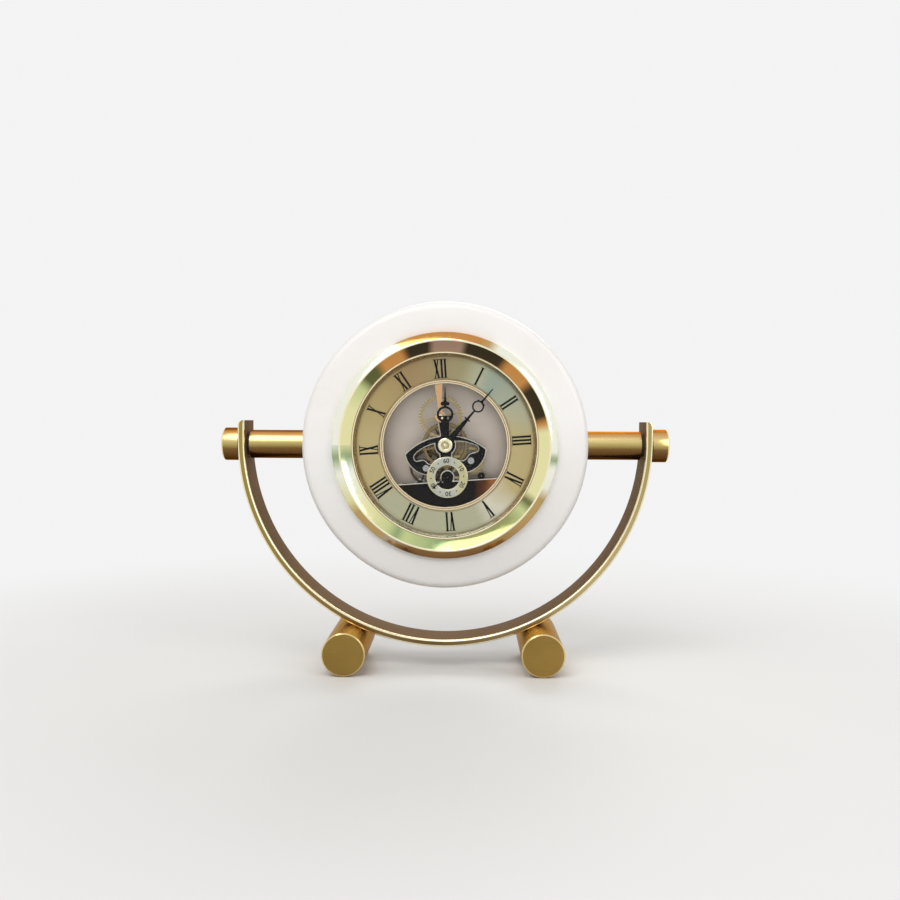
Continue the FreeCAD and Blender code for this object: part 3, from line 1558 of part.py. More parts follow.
def make_door():
    """A flat door with a lip inside the box and a notch for a fingernail."""
    wall, gap = size.box_wall, size.door_gap
    half = size.box_half
    back = box_back + size.door_thickness
    plate = box((-half, half), (box_back, back), (-size.box_bottom, -size.box_top))
    lip = box(
        (wall - half + gap, half - wall - gap),
        (box_back - size.door_lip, back),
        (wall - size.box_bottom + gap, -size.box_top - wall - gap),
    )
    notch_floor = back - size.door_thickness / 2
    notch = cylinder("Y", size.grip_notch, notch_floor, back + gap, 0, -size.box_top)
    return node("battery_door", "dial", cut(fuse(plate, lip), notch))


def make_stator():
    """The iron core: an eye round the magnet, a bar through the coil and two posts."""
    low = -size.coil_drop - size.core_half
    high = size.core_half - size.coil_drop
    layer = (setting_layer, setting_layer + size.wheel_thickness)
    end = size.coil_end + 2 * size.post_radius
    hole = size.rotor_magnet + size.stator_gap
    through = (layer[0] - size.overrun, layer[1] + size.overrun)
    eye = cylinder("Y", size.stator_radius, *layer, rotor_x, rotor_z)
    core = box((rotor_x, end), layer, (low, high))
    flat = cut(fuse(eye, core), cylinder("Y", hole, *through, rotor_x, rotor_z))
    lean = math.sqrt(0.5)
    ring_middle = (size.stator_radius + hole) / 2
    spots = [
        (rotor_x - ring_middle * lean, rotor_z - ring_middle * lean),
        (end - size.post_radius, -size.coil_drop),
    ]
    posts = [cylinder("Y", size.post_radius, layer[1], back_front, x, z) for x, z in spots]
    return node("stator", "dial", fuse(flat, *posts))


def make_coil():
    body = turned(
        "X",
        [
            (size.coil_start, size.coil_bore),
            (size.coil_start, size.coil_radius),
            (size.coil_end, size.coil_radius),
            (size.coil_end, size.coil_bore),
        ],
    )
    middle = setting_layer + size.wheel_thickness / 2
    place(body, 0, middle, -size.coil_drop, TURNS["Z"])
    return node("coil", "dial", body)


def make_board():
    half = size.board_half
    bottom = -size.apron_bottom
    top = bottom + size.board_width
    back = back_back + size.board_thickness
    board = box((-half, half), (back_back, back), (bottom, top))
    chip = cylinder("Y", size.chip_radius, back, back + size.chip_height, 0, (bottom + top) / 2)
    return node("circuit_board", "dial", board, chip)


# Every piece, the stand first
make_bow()
make_foot(-1, "left_foot")
make_foot(1, "right_foot")
node("foot_screws", "stand", *[foot_screw(side, end) for side in (-1, 1) for end in (-1, 1)])
node("foot_pads", "stand", *[pad_space(side, end, 0) for side in (-1, 1) for end in (-1, 1)])
make_bushes()
make_washers()
make_ring()
rod_bore = size.stud_radius + size.rod_gap
for side, name in ((-1, "left"), (1, "right")):
    node(f"{name}_rod", "head", x_tube(side, size.rod_radius, rod_bore, rod_start, rod_end))
    node(f"{name}_end_cap", "head", make_cap(side))
make_studs()
nut_bore = size.stud_radius + size.fit_gap
node(
    "ring_inserts",
    "head",
    *both(lambda side: x_tube(side, size.nut_radius, nut_bore, nut_start, rod_start)),
)
make_bezel()
node("crystal", "dial", cylinder("Y", crystal_radius, crystal_front, crystal_back))
make_case()
make_band()
make_cover()
make_cover_screws()
make_rehaut()
node("dial_ring", "dial", tube(dial_radius, size.opening_radius, dial_front, dial_back))
make_dial_rim()
make_front_plate()
make_lower_plate()
make_rear_plates()
make_pillars()
make_plate_screws()
make_bridge()
make_bridge_screw()
make_seconds_ring()
make_minute_arbor()
make_minute_hand()
make_hand_cap()
make_hour_wheel()
make_hour_hand()
make_upper_wheel()
make_right_wheel()
make_stem()
make_knob()
make_seconds_wheel()
make_seconds_hand()
make_third_wheel()
make_centre_wheel()
make_left_wheel()
make_rotor()
make_stator()
make_coil()
make_board()
make_battery_box()
make_battery()
make_contacts()
make_door()
doc.recompute()

# Nothing is written unless every object is sound
faults = []
for item in doc.Objects:
    if "Invalid" in item.State or "Error" in item.State:
        faults.append(f"{item.Name} is {item.State}")
for item in NODES:
    if item.Shape.isNull() or not item.Shape.isValid() or not item.Shape.Solids:
        faults.append(f"{item.Label} has no sound shape")
if faults:
    raise SystemExit("\n".join(faults))

os.makedirs("parts", exist_ok=True)
for item in NODES:
    item.Shape.exportStep(f"parts/{item.Label}.step")
print(len(NODES), "nodes written")
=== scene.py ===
import json
import math

import bmesh
import bpy
from mathutils import Matrix, Vector


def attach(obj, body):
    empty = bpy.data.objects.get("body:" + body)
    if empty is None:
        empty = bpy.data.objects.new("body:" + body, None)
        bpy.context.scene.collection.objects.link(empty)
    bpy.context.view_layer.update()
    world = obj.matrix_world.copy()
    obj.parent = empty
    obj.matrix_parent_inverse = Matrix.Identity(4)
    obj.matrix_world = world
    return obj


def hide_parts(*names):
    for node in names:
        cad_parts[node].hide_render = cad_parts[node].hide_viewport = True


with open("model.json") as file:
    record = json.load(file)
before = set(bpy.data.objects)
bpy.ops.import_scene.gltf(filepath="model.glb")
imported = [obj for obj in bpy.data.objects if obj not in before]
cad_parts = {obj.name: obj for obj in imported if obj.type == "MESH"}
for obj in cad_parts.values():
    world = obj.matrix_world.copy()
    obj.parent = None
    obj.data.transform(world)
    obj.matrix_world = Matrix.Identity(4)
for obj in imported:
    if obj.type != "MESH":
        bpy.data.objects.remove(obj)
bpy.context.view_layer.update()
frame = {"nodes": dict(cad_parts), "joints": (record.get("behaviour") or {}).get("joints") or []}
NODE = frame["nodes"]

MM = 0.001
# The dial frame: its origin is the hub, and it is rolled a little about Y
DIAL_ROLL = -4.0
BOW_CENTRE_RISE = 3.4
_, PIVOT_DEPTH, PIVOT_HEIGHT = frame["joints"][0]["pos_m"]
PIVOT = Matrix.Translation((0, PIVOT_DEPTH, PIVOT_HEIGHT))
DIAL = PIVOT @ Matrix.Rotation(math.radians(DIAL_ROLL), 4, "Y")
BOW_CENTRE = PIVOT_HEIGHT + BOW_CENTRE_RISE * MM


# Materials

class Graph:
    """A small helper that adds shader nodes and links them."""

    def __init__(self, name):
        self.material = bpy.data.materials.new(name)
        self.material.use_nodes = True
        self.tree = self.material.node_tree
        self.shader = self.tree.nodes["Principled BSDF"]
        self.coords = self.add("ShaderNodeTexCoord").outputs["Object"]

    def add(self, kind, **values):
        made = self.tree.nodes.new(kind)
        for key, value in values.items():
            setattr(made, key, value)
        return made

    def link(self, source, target):
        self.tree.links.new(source, target)

    def math(self, operation, first, second=None):
        made = self.add("ShaderNodeMath", operation=operation)
        for socket, value in zip(made.inputs, (first, second)):
            if value is None:
                continue
            if isinstance(value, (int, float)):
                socket.default_value = value
            else:
                self.link(value, socket)
        return made.outputs[0]

    def stretched(self, scale, rotation=(0, 0, 0), location=(0, 0, 0)):
        mapping = self.add("ShaderNodeMapping")
        mapping.inputs["Scale"].default_value = scale
        mapping.inputs["Rotation"].default_value = rotation
        mapping.inputs["Location"].default_value = location
        self.link(self.coords, mapping.inputs["Vector"])
        return mapping.outputs[0]

    def noise(self, vector, scale, detail=3.0, rough=0.5):
        made = self.add("ShaderNodeTexNoise")
        made.inputs["Scale"].default_value = scale
        made.inputs["Detail"].default_value = detail
        made.inputs["Roughness"].default_value = rough
        self.link(vector, made.inputs["Vector"])
        return made.outputs["Fac"]

    def ramp(self, factor, stops):
        made = self.add("ShaderNodeValToRGB")
        elements = made.color_ramp.elements
        while len(elements) < len(stops):
            elements.new(0.5)
        for element, (place, colour) in zip(elements, stops):
            element.position = place
            element.color = (*colour, 1)
        self.link(factor, made.inputs["Fac"])
        return made.outputs["Color"]

    def values(self, factor, low, high, start=0.0, end=1.0):
        made = self.add("ShaderNodeMapRange")
        for key, value in (("From Min", start), ("From Max", end), ("To Min", low), ("To Max", high)):
            made.inputs[key].default_value = value
        self.link(factor, made.inputs["Value"])
        return made.outputs[0]

    def mix(self, factor, first, second):
        made = self.add("ShaderNodeMix", data_type="RGBA")
        for socket, value in ((made.inputs[0], factor), (made.inputs[6], first), (made.inputs[7], second)):
            if isinstance(value, (tuple, list)):
                socket.default_value = (*value, 1)
            elif isinstance(value, (int, float)):
                socket.default_value = value
            else:
                self.link(value, socket)
        return made.outputs[2]

    def bump(self, height, strength, distance=0.0001):
        made = self.add("ShaderNodeBump")
        made.inputs["Strength"].default_value = strength
        made.inputs["Distance"].default_value = distance
        self.link(height, made.inputs["Height"])
        self.link(made.outputs[0], self.shader.inputs["Normal"])

    def colour(self, source):
        self.link(source, self.shader.inputs["Base Color"])

    def roughness(self, source):
        self.link(source, self.shader.inputs["Roughness"])

    def plain(self, **values):
        for key, value in values.items():
            self.shader.inputs[key.replace("_", " ")].default_value = value

    def axes(self, height=PIVOT_HEIGHT):
        """Place sideways and in depth, and height over the pivot axis, in metres."""
        split = self.add("ShaderNodeSeparateXYZ")
        self.link(self.coords, split.inputs[0])
        return split.outputs[0], split.outputs[1], self.math("SUBTRACT", split.outputs[2], height)

    def radius(self, height=PIVOT_HEIGHT):
        x, _, z = self.axes(height)
        square = self.math("ADD", self.math("MULTIPLY", x, x), self.math("MULTIPLY", z, z))
        return self.math("SQRT", square)

    def turn(self, height=PIVOT_HEIGHT):
        """Share of a full turn round the pivot: 0 and 1 at the left, 0.5 at the right, 0.75 at the top."""
        x, _, z = self.axes(height)
        angle = self.math("ARCTAN2", z, x)
        return self.math("ADD", self.math("DIVIDE", angle, math.tau), 0.5)

    def only(self, value):
        """One number as a vector, so that noise varies along it alone."""
        made = self.add("ShaderNodeCombineXYZ")
        self.link(value, made.inputs[0])
        return made.outputs[0]


def shades(colour, spread):
    """The colour made lighter, or darker for a spread below zero."""
    return tuple(min(1.0, channel * (1 + spread)) for channel in colour)


def brushed(name, colour, rough, direction, strength=0.25, spread=0.12, edge=(1, 1, 1)):
    """Metal with fine parallel lines: direction is X, Y, Z, or ring for lines round the hub."""
    graph = Graph(name)
    graph.plain(Metallic=1.0, Specular_Tint=(*edge, 1))
    if direction == "ring":
        lines = graph.noise(graph.only(graph.radius()), 4200, 2)
    else:
        scale = {"X": (40, 4200, 4200), "Y": (4200, 40, 4200), "Z": (4200, 4200, 40)}[direction]
        lines = graph.noise(graph.stretched(scale), 1, 2)
    cloud = graph.noise(graph.coords, 38, 4)
    darker, lighter = shades(colour, -spread), shades(colour, spread)
    tone = graph.ramp(cloud, [(0.3, darker), (0.7, lighter)])
    graph.colour(graph.mix(graph.values(lines, 0.0, 0.35), tone, shades(colour, -2.2 * spread)))
    graph.roughness(graph.values(lines, rough * 0.75, rough * 1.3, 0.3, 0.7))
    graph.bump(lines, strength)
    return graph.material


def polished(name, colour, rough=0.12, spread=0.06, scratches=0.06):
    """Bright metal with faint clouds, smears and fine scratches."""
    graph = Graph(name)
    graph.plain(Metallic=1.0)
    cloud = graph.noise(graph.coords, 60, 5)
    graph.colour(graph.ramp(cloud, [(0.3, shades(colour, -spread)), (0.7, shades(colour, spread))]))
    smear = graph.noise(graph.coords, 240, 6, 0.7)
    graph.roughness(graph.values(smear, rough * 0.7, rough * 1.5, 0.3, 0.7))
    graph.bump(graph.noise(graph.coords, 1800, 3), scratches, 0.00005)
    return graph.material


def lacquer(name, colour, rough=0.2, dust=0.04, scale=900, gloss=0.3):
    """Black or coloured paint with a faint orange peel and a little dust in its roughness."""
    graph = Graph(name)
    graph.plain(Specular_IOR_Level=gloss)
    cloud = graph.noise(graph.coords, 90, 4)
    light = tuple(min(1.0, channel + dust * 0.25) for channel in colour)
    graph.colour(graph.ramp(cloud, [(0.35, colour), (0.8, light)]))
    graph.roughness(graph.values(cloud, rough * 0.8, rough * 1.4, 0.3, 0.8))
    graph.bump(graph.noise(graph.coords, scale, 2), 0.05, 0.00005)
    return graph.material


def moulded(name, colour, rough=0.5, grain=2600, depth=0.18, spread=0.08):
    """Plastic or rubber with a fine grain."""
    graph = Graph(name)
    cloud = graph.noise(graph.coords, 45, 3)
    graph.colour(graph.ramp(cloud, [(0.3, shades(colour, -spread)), (0.7, shades(colour, spread))]))
    graph.roughness(graph.values(cloud, rough * 0.9, rough * 1.1))
    graph.bump(graph.noise(graph.coords, grain, 2), depth)
    return graph.material


def ring_material():
    """Cast resin: nearly white, with faint warm clouds, a soft polish and painted shade that greys it
    towards the bottom.
    """
    graph = Graph("ring_resin")
    cloud = graph.noise(graph.stretched((1, 0.7, 1.6)), 9, 6, 0.55)
    veins = graph.noise(graph.stretched((1.5, 1, 3)), 26, 8, 0.6)
    _, _, up = graph.axes()
    # Painted shade: the ring greys towards its bottom, as if lit from above
    low = graph.values(up, 0.75, 0.0, -0.095, 0.02)
    warm = graph.ramp(cloud, [(0.32, (0.89, 0.86, 0.83)), (0.62, (0.93, 0.91, 0.89))])
    warm = graph.mix(low, warm, (0.66, 0.65, 0.63))
    graph.colour(graph.mix(graph.values(veins, 0.0, 0.10, 0.55, 0.8), warm, (0.62, 0.55, 0.48)))
    graph.roughness(graph.values(cloud, 0.30, 0.42))
    graph.bump(graph.noise(graph.coords, 300, 4), 0.04)
    return graph.material


# Painted reflections: the tones that polished and brushed brass takes from a bright room with dark corners
CREAM = (0.93, 0.94, 0.80)
PALE_GOLD = (0.84, 0.80, 0.42)
LIME = (0.60, 0.66, 0.30)
DEEP_LIME = (0.33, 0.35, 0.14)
MOSS = (0.30, 0.40, 0.19)
OLIVE = (0.12, 0.13, 0.045)
SHADOW = (0.045, 0.035, 0.018)
# An orange tone of painted reflection
ORANGE = (0.60, 0.28, 0.08)
TAN = (0.56, 0.38, 0.15)
UMBER = (0.27, 0.145, 0.055)
ROSE = (0.39, 0.25, 0.175)
PEWTER = (0.50, 0.45, 0.36)
HONEY = (0.70, 0.56, 0.32)
CHALK = (0.95, 0.96, 0.94)

# Painted reflections and painted shade round the hub by angle, from -180 degrees at the left through the
# bottom at -90
SLOPE_TURN = [
    (-180, PALE_GOLD), (-172, MOSS), (-164, CREAM), (-140, PALE_GOLD), (-123, LIME), (-117, MOSS),
    (-112, LIME), (-92, MOSS), (-82, DEEP_LIME), (-48, DEEP_LIME), (-39, LIME), (-33, OLIVE),
    (-28, PALE_GOLD), (8, PALE_GOLD), (13, ORANGE), (17, SHADOW), (33, SHADOW), (38, ORANGE),
    (50, ORANGE), (55, SHADOW), (78, SHADOW), (82, ROSE), (97, ROSE), (101, SHADOW), (112, SHADOW),
    (116, ORANGE), (128, ORANGE), (133, OLIVE), (141, OLIVE), (147, LIME), (160, PALE_GOLD),
]
FLANGE_TURN = [
    (-180, CREAM), (-172, MOSS), (-164, CREAM), (-150, PALE_GOLD), (-143, TAN), (-126, TAN),
    (-118, PEWTER), (-108, UMBER), (-75, UMBER), (-40, TAN), (-28, TAN), (-22, CREAM),
    (-12, CREAM), (-8, MOSS), (-4, CREAM), (60, CREAM), (66, TAN), (71, ORANGE), (108, ORANGE),
    (115, TAN), (120, CREAM),
]
REHAUT_TURN = [
    (-180, HONEY), (-138, HONEY), (-131, CHALK), (-62, CHALK), (-55, HONEY), (180, HONEY),
]
# Painted reflections round the bend of the bow, by angle
BOW_TURN = [
    (-180, (0.40, 0.31, 0.075)), (-135, (0.34, 0.22, 0.07)), (-95, (0.17, 0.11, 0.05)),
    (-70, (0.30, 0.22, 0.10)), (-45, (0.60, 0.48, 0.24)), (0, (0.46, 0.37, 0.14)),
    (180, (0.40, 0.31, 0.075)),
]

# Tones of the champagne dial: painted reflections that change round it
CHAMPAGNE = (0.60, 0.49, 0.23)
PEARL = (0.52, 0.52, 0.35)
SILVER = (0.80, 0.77, 0.62)
TEAL = (0.37, 0.45, 0.37)
BRONZE = (0.41, 0.28, 0.12)
DIAL_TURN = [
    (-180, CHAMPAGNE), (-158, CHAMPAGNE), (-138, PEARL), (-62, PEARL), (-44, SILVER),
    (-24, CHAMPAGNE), (8, CHAMPAGNE), (26, PEARL), (46, TEAL), (62, PEARL), (82, (0.40, 0.35, 0.19)),
    (113, BRONZE), (140, (0.50, 0.38, 0.16)), (180, CHAMPAGNE),
]


def turned_colour(graph, stops, wobble, height=PIVOT_HEIGHT):
    """Painted reflections: a colour that drifts round the hub, with an uneven edge to each change."""
    drift = graph.values(graph.noise(graph.coords, 22, 3), -wobble, wobble, 0.3, 0.7)
    turn = graph.math("ADD", graph.turn(height), drift)
    return graph.ramp(turn, [(angle / 360 + 0.5, colour) for angle, colour in stops])


def bezel_material(name, stops, rough):
    """Mirror-bright gold plate with painted reflections, whose tone changes round the ring."""
    graph = Graph(name)
    graph.plain(Metallic=1.0)
    graph.colour(turned_colour(graph, stops, 0.006))
    graph.roughness(graph.values(graph.noise(graph.coords, 300, 5), rough * 0.7, rough * 1.5, 0.3, 0.7))
    graph.bump(graph.noise(graph.only(graph.radius()), 3600, 2), 0.05, 0.00005)
    return graph.material


def dial_material():
    """Champagne dial with fine circular lines and painted reflections, whose tone drifts round it, darker
    at its outer edge as painted shadow of the bezel.
    """
    graph = Graph("dial_champagne")
    graph.plain(Metallic=0.8)
    tone = turned_colour(graph, DIAL_TURN, 0.03)
    lines = graph.noise(graph.only(graph.radius()), 5200, 2)
    # Painted shadow of the bezel: darker towards the outer edge
    shade = graph.values(graph.radius(), 0.0, 0.55, 0.0565, 0.0606)
    tone = graph.mix(shade, tone, (0.30, 0.21, 0.09))
    graph.colour(graph.mix(graph.values(lines, 0.0, 0.18), tone, (0.40, 0.34, 0.22)))
    graph.roughness(graph.values(lines, 0.26, 0.42, 0.3, 0.7))
    graph.bump(lines, 0.15)
    return graph.material


def bow_material():
    """Brushed brass strip: satin on its edges and outside, with painted reflections round the bend there,
    dark and dull on its inside.
    """
    graph = Graph("bow_brass")
    graph.plain(Specular_IOR_Level=0.16, Specular_Tint=(0.55, 0.40, 0.24, 1))
    x, y, z = graph.axes(BOW_CENTRE)
    low = graph.math("MINIMUM", z, 0.0)
    square = graph.math("ADD", graph.math("MULTIPLY", x, x), graph.math("MULTIPLY", low, low))
    radius = graph.math("SQRT", square)
    inside = graph.values(radius, 1.0, 0.0, 0.13305, 0.13335)
    across = graph.noise(graph.only(y), 3800, 2)
    round_lines = graph.noise(graph.only(radius), 3800, 2)
    lines = graph.math("ADD", graph.math("MULTIPLY", across, 0.6), graph.math("MULTIPLY", round_lines, 0.4))
    # Painted reflections on the edges and outside
    edge = turned_colour(graph, BOW_TURN, 0.015, BOW_CENTRE)
    cloud = graph.noise(graph.coords, 20, 4)
    dull = graph.ramp(cloud, [(0.3, (0.125, 0.068, 0.026)), (0.7, (0.175, 0.10, 0.042))])
    tone = graph.mix(inside, edge, dull)
    graph.colour(graph.mix(graph.values(lines, 0.0, 0.25), tone, (0.10, 0.075, 0.04)))
    graph.link(graph.values(inside, 1.0, 0.35), graph.shader.inputs["Metallic"])
    satin = graph.values(lines, 0.24, 0.40, 0.3, 0.7)
    graph.roughness(graph.math("ADD", satin, graph.math("MULTIPLY", inside, 0.25)))
    graph.bump(lines, 0.25)
    return graph.material


def tinted_rod(name, reach):
    """Gold rod, warmer above and browner below, with painted light: a painted highlight above the middle
    and painted shade to near black at the bottom, and lines along it.
    """
    graph = Graph(name)
    graph.plain(Metallic=1.0, Specular_Tint=(0.62, 0.40, 0.20, 1))
    _, _, up = graph.axes()
    height = graph.values(up, 0.0, 1.0, -reach * MM, reach * MM)
    drift = graph.values(graph.noise(graph.coords, 30, 3), -0.05, 0.05)
    # Painted highlight and painted shade by height
    tone = graph.ramp(
        graph.math("ADD", height, drift),
        [
            (0.02, (0.035, 0.02, 0.012)),
            (0.20, (0.12, 0.05, 0.015)),
            (0.38, (0.20, 0.11, 0.035)),
            (0.50, (0.46, 0.36, 0.12)),
            (0.62, (0.66, 0.53, 0.22)),
            (0.76, (0.70, 0.52, 0.24)),
            (0.90, (0.66, 0.31, 0.09)),
            (0.98, (0.22, 0.07, 0.02)),
        ],
    )
    lines = graph.noise(graph.stretched((40, 3800, 3800)), 1, 2)
    graph.colour(graph.mix(graph.values(lines, 0.0, 0.12), tone, (0.42, 0.28, 0.10)))
    graph.roughness(graph.values(lines, 0.20, 0.32, 0.3, 0.7))
    graph.bump(lines, 0.06)
    return graph.material


def seconds_material():
    """Cream print, yellower at its two sides."""
    graph = Graph("seconds_cream")
    x, _, _ = graph.axes()
    aside = graph.values(graph.math("ABSOLUTE", x), 0.0, 1.0, 0.005, 0.012)
    drift = graph.values(graph.noise(graph.coords, 200, 3), -0.15, 0.15)
    tone = graph.ramp(
        graph.math("ADD", aside, drift), [(0.1, (0.70, 0.72, 0.62)), (0.9, (0.78, 0.73, 0.40))]
    )
    graph.colour(tone)
    graph.roughness(graph.values(graph.noise(graph.coords, 900, 2), 0.3, 0.45))
    graph.bump(graph.noise(graph.coords, 2400, 2), 0.05)
    return graph.material


def lower_plate_material():
    """Black gloss that turns reddish brown at the right end."""
    graph = Graph("lower_plate_black")
    graph.plain(Specular_IOR_Level=0.14)
    x, _, _ = graph.axes()
    aside = graph.values(x, 0.0, 1.0, 0.018, 0.033)
    drift = graph.values(graph.noise(graph.coords, 90, 3), -0.3, 0.3)
    tone = graph.ramp(
        graph.math("ADD", aside, drift),
        [(0.1, (0.004, 0.003, 0.002)), (0.55, (0.14, 0.045, 0.012)), (0.9, (0.42, 0.16, 0.05))],
    )
    graph.colour(tone)
    graph.roughness(graph.values(graph.noise(graph.coords, 300, 3), 0.12, 0.22))
    graph.bump(graph.noise(graph.coords, 900, 2), 0.05, 0.00005)
    return graph.material


def cover_material():
    """Satin grey-beige panel, with the soft cloudiness of sprayed paint."""
    graph = Graph("cover_panel")
    graph.plain(Metallic=0.45)
    cloud = graph.noise(graph.stretched((1, 1, 2)), 32, 4)
    graph.colour(graph.ramp(cloud, [(0.3, (0.80, 0.68, 0.57)), (0.7, (0.86, 0.77, 0.68))]))
    graph.roughness(graph.values(graph.noise(graph.coords, 500, 3), 0.36, 0.48))
    graph.bump(graph.noise(graph.coords, 1800, 2), 0.08)
    return graph.material


def crystal_material():
    """Clear mineral glass: almost nothing face on, and a mirror at a low angle."""
    graph = Graph("crystal_glass")
    graph.plain(Metallic=1.0)
    graph.shader.inputs["Base Color"].default_value = (0.93, 0.97, 0.96, 1)
    fresnel = graph.add("ShaderNodeFresnel")
    fresnel.inputs["IOR"].default_value = 1.45
    graph.link(graph.values(fresnel.outputs[0], 0.004, 0.6, 0.034), graph.shader.inputs["Alpha"])
    graph.roughness(graph.values(graph.noise(graph.coords, 120, 4), 0.015, 0.05))
    return graph.material


BLACK = lacquer("plate_black", (0.005, 0.005, 0.005), 0.16, 0.02, gloss=0.14)
HAND_BLACK = lacquer("hand_black", (0.005, 0.005, 0.005), 0.3, 0.02, gloss=0.12)
PRINT_BLACK = lacquer("printed_black", (0.006, 0.006, 0.005), 0.45, 0.02, gloss=0.12)
PRINT_BROWN = lacquer("printed_brown", (0.10, 0.055, 0.025), 0.4)
WHITE = lacquer("screw_white", (0.80, 0.80, 0.80), 0.2)
# Painted shade: a grey ring for the groove of each plate screw
GROOVE = lacquer("screw_groove", (0.20, 0.20, 0.22), 0.3)
# Painted highlight: the polished bevels of the plates and the bridge as a pale cream paint
EDGE_BRIGHT = lacquer("cut_edge", (0.94, 0.90, 0.80), 0.35, gloss=0.6)
# Painted highlight: a lighter copy of the brass on the rounded corners of the bow
BRASS_EDGE = polished("brass_edge", (0.95, 0.84, 0.56), 0.18)
WHEEL = brushed("wheel_brass", (0.42, 0.34, 0.17), 0.3, "ring", 0.15)
WHEEL_HUB = brushed("wheel_hub", (0.24, 0.18, 0.09), 0.32, "ring", 0.15)
WHEEL_DARK = brushed("wheel_dark", (0.075, 0.055, 0.032), 0.35, "ring", 0.15)
STEEL = brushed("steel", (0.60, 0.60, 0.62), 0.3, "X", 0.2)
NYLON = moulded("nylon", (0.03, 0.03, 0.028), 0.45)
RUBBER = moulded("rubber", (0.022, 0.022, 0.022), 0.75, 1400, 0.35)
BOX = moulded("box_plastic", (0.018, 0.018, 0.019), 0.5)
DOOR = moulded("door_plastic", (0.026, 0.026, 0.027), 0.42, 1900, 0.25, 0.14)
KNOB = moulded("knob_plastic", (0.021, 0.021, 0.022), 0.36, 2600, 0.12, 0.12)
CAP_GOLD = polished("cap_gold", (0.90, 0.84, 0.60), 0.2)
# Painted reflection: a darker olive copy of the cap gold on the inner step of the hand cap
CAP_OLIVE = polished("cap_olive", (0.52, 0.47, 0.26), 0.25)
COPPER = brushed("copper_bridge", (0.74, 0.44, 0.22), 0.3, "Z", 0.12, 0.12)
ROD_GOLD = tinted_rod("rod_gold", 9.5)
END_GOLD = tinted_rod("end_gold", 11.0)
RIM_GOLD = polished("rim_gold", (0.84, 0.72, 0.48), 0.22)
# Painted shade: a darker copy of the rim gold in the small steps and grooves
RIM_SHADE = polished("rim_shade", (0.42, 0.27, 0.13), 0.3)
FOOT_SIDE = brushed("foot_side", (0.50, 0.32, 0.13), 0.26, "Y", 0.12, 0.07, edge=(0.66, 0.47, 0.25))
# Painted reflections on the feet: a darker copy of the brass on the end faces, and a lighter one on their
# bevels as painted highlight
FOOT_FACE = brushed("foot_face", (0.335, 0.215, 0.056), 0.34, "X", 0.12, 0.14)
FOOT_RIM = polished("foot_rim", (0.74, 0.56, 0.26), 0.2)
# Painted highlight: a lighter copy of the brass on the rims of the rods and end caps
RIM_GLINT = polished("rim_glint", (0.90, 0.74, 0.40), 0.16)

LOOKS = {
    "crystal": crystal_material(),
    "pivot_bushes": NYLON,
    "pivot_washers": NYLON,
    "foot_pads": RUBBER,
    "grip_band": RUBBER,
    "foot_screws": STEEL,
    "pivot_studs": STEEL,
    "ring_inserts": STEEL,
    "plate_pillars": STEEL,
    "battery_contacts": STEEL,
    "stator": STEEL,
    "rotor": STEEL,
    "cover_screws": STEEL,
    "insert_case": brushed("case_brass", (0.50, 0.42, 0.25), 0.35, "ring"),
    "rear_cover": cover_material(),
    "bridge_screw": CAP_GOLD,
    "plate_screws": WHITE,
    "minute_arbor": WHEEL_HUB,
    "hour_wheel": WHEEL_HUB,
    "minute_work_wheel": WHEEL,
    "setting_wheel": WHEEL,
    "setting_stem": WHEEL,
    "seconds_wheel": WHEEL_DARK,
    "third_wheel": WHEEL,
    "centre_wheel": WHEEL_DARK,
    "intermediate_wheel": WHEEL_DARK,
    "middle_plate": BLACK,
    "back_plate": BLACK,
    "seconds_hand": HAND_BLACK,
    "battery_box": BOX,
    "set_knob": KNOB,
    "battery": lacquer("cell_sleeve", (0.05, 0.14, 0.09), 0.25),
    "coil": brushed("coil_copper", (0.50, 0.22, 0.10), 0.4, "Y", 0.5),
    "circuit_board": lacquer("board_green", (0.02, 0.12, 0.05), 0.3),
}


for name, look in LOOKS.items():
    worn = NODE[name].data.materials
    worn.clear()
    worn.append(look)


# Pieces

HEAD = "clock_head"
STAND = "stand"


def add_mesh(name, bm, materials, body, nodes=()):
    """A new piece that rides a body and stands in for CAD nodes where they are given."""
    mesh = bpy.data.meshes.new(name)
    bm.to_mesh(mesh)
    bm.free()
    piece = bpy.data.objects.new(name, mesh)
    bpy.context.scene.collection.objects.link(piece)
    for material in materials:
        mesh.materials.append(material)
    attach(piece, body)
    if nodes:
        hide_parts(*nodes)
    return piece


def smooth(bm, angle=35):
    """Smooth shading, broken at edges sharper than the angle."""
    for face in bm.faces:
        face.smooth = True
    for edge in bm.edges:
        edge.smooth = len(edge.link_faces) == 2 and edge.calc_face_angle(0) < math.radians(angle)


def copied(node):
    """The mesh of a CAD node, with its flat faces made whole again."""
    bm = bmesh.new()
    bm.from_mesh(NODE[node].data)
    bmesh.ops.remove_doubles(bm, verts=bm.verts, dist=1e-6)
    bmesh.ops.dissolve_limit(bm, angle_limit=math.radians(0.2), verts=bm.verts, edges=bm.edges)
    for face in bm.faces:
        face.material_index = 0
    return bm


SHARP = math.radians(50)


def bevelled(node, body, width, face_material, edge_material, front_only=False):
    """A copy of a CAD piece with its sharp edges, or those of its front, cut to a narrow bevel."""
    bm = copied(node)
    sharp = [e for e in bm.edges if len(e.link_faces) == 2 and e.calc_face_angle(0) > SHARP]
    if front_only:
        front = min(vert.co.y for vert in bm.verts) + 0.01 * MM
        sharp = [e for e in sharp if max(vert.co.y for vert in e.verts) < front]
    bmesh.ops.bevel(
        bm, geom=sharp, offset=width, offset_type="OFFSET", segments=1, profile=0.5,
        affect="EDGES", clamp_overlap=False, loop_slide=True, material=1,
    )
    smooth(bm)
    return add_mesh(f"{node}_finished", bm, [face_material, edge_material], body, [node])


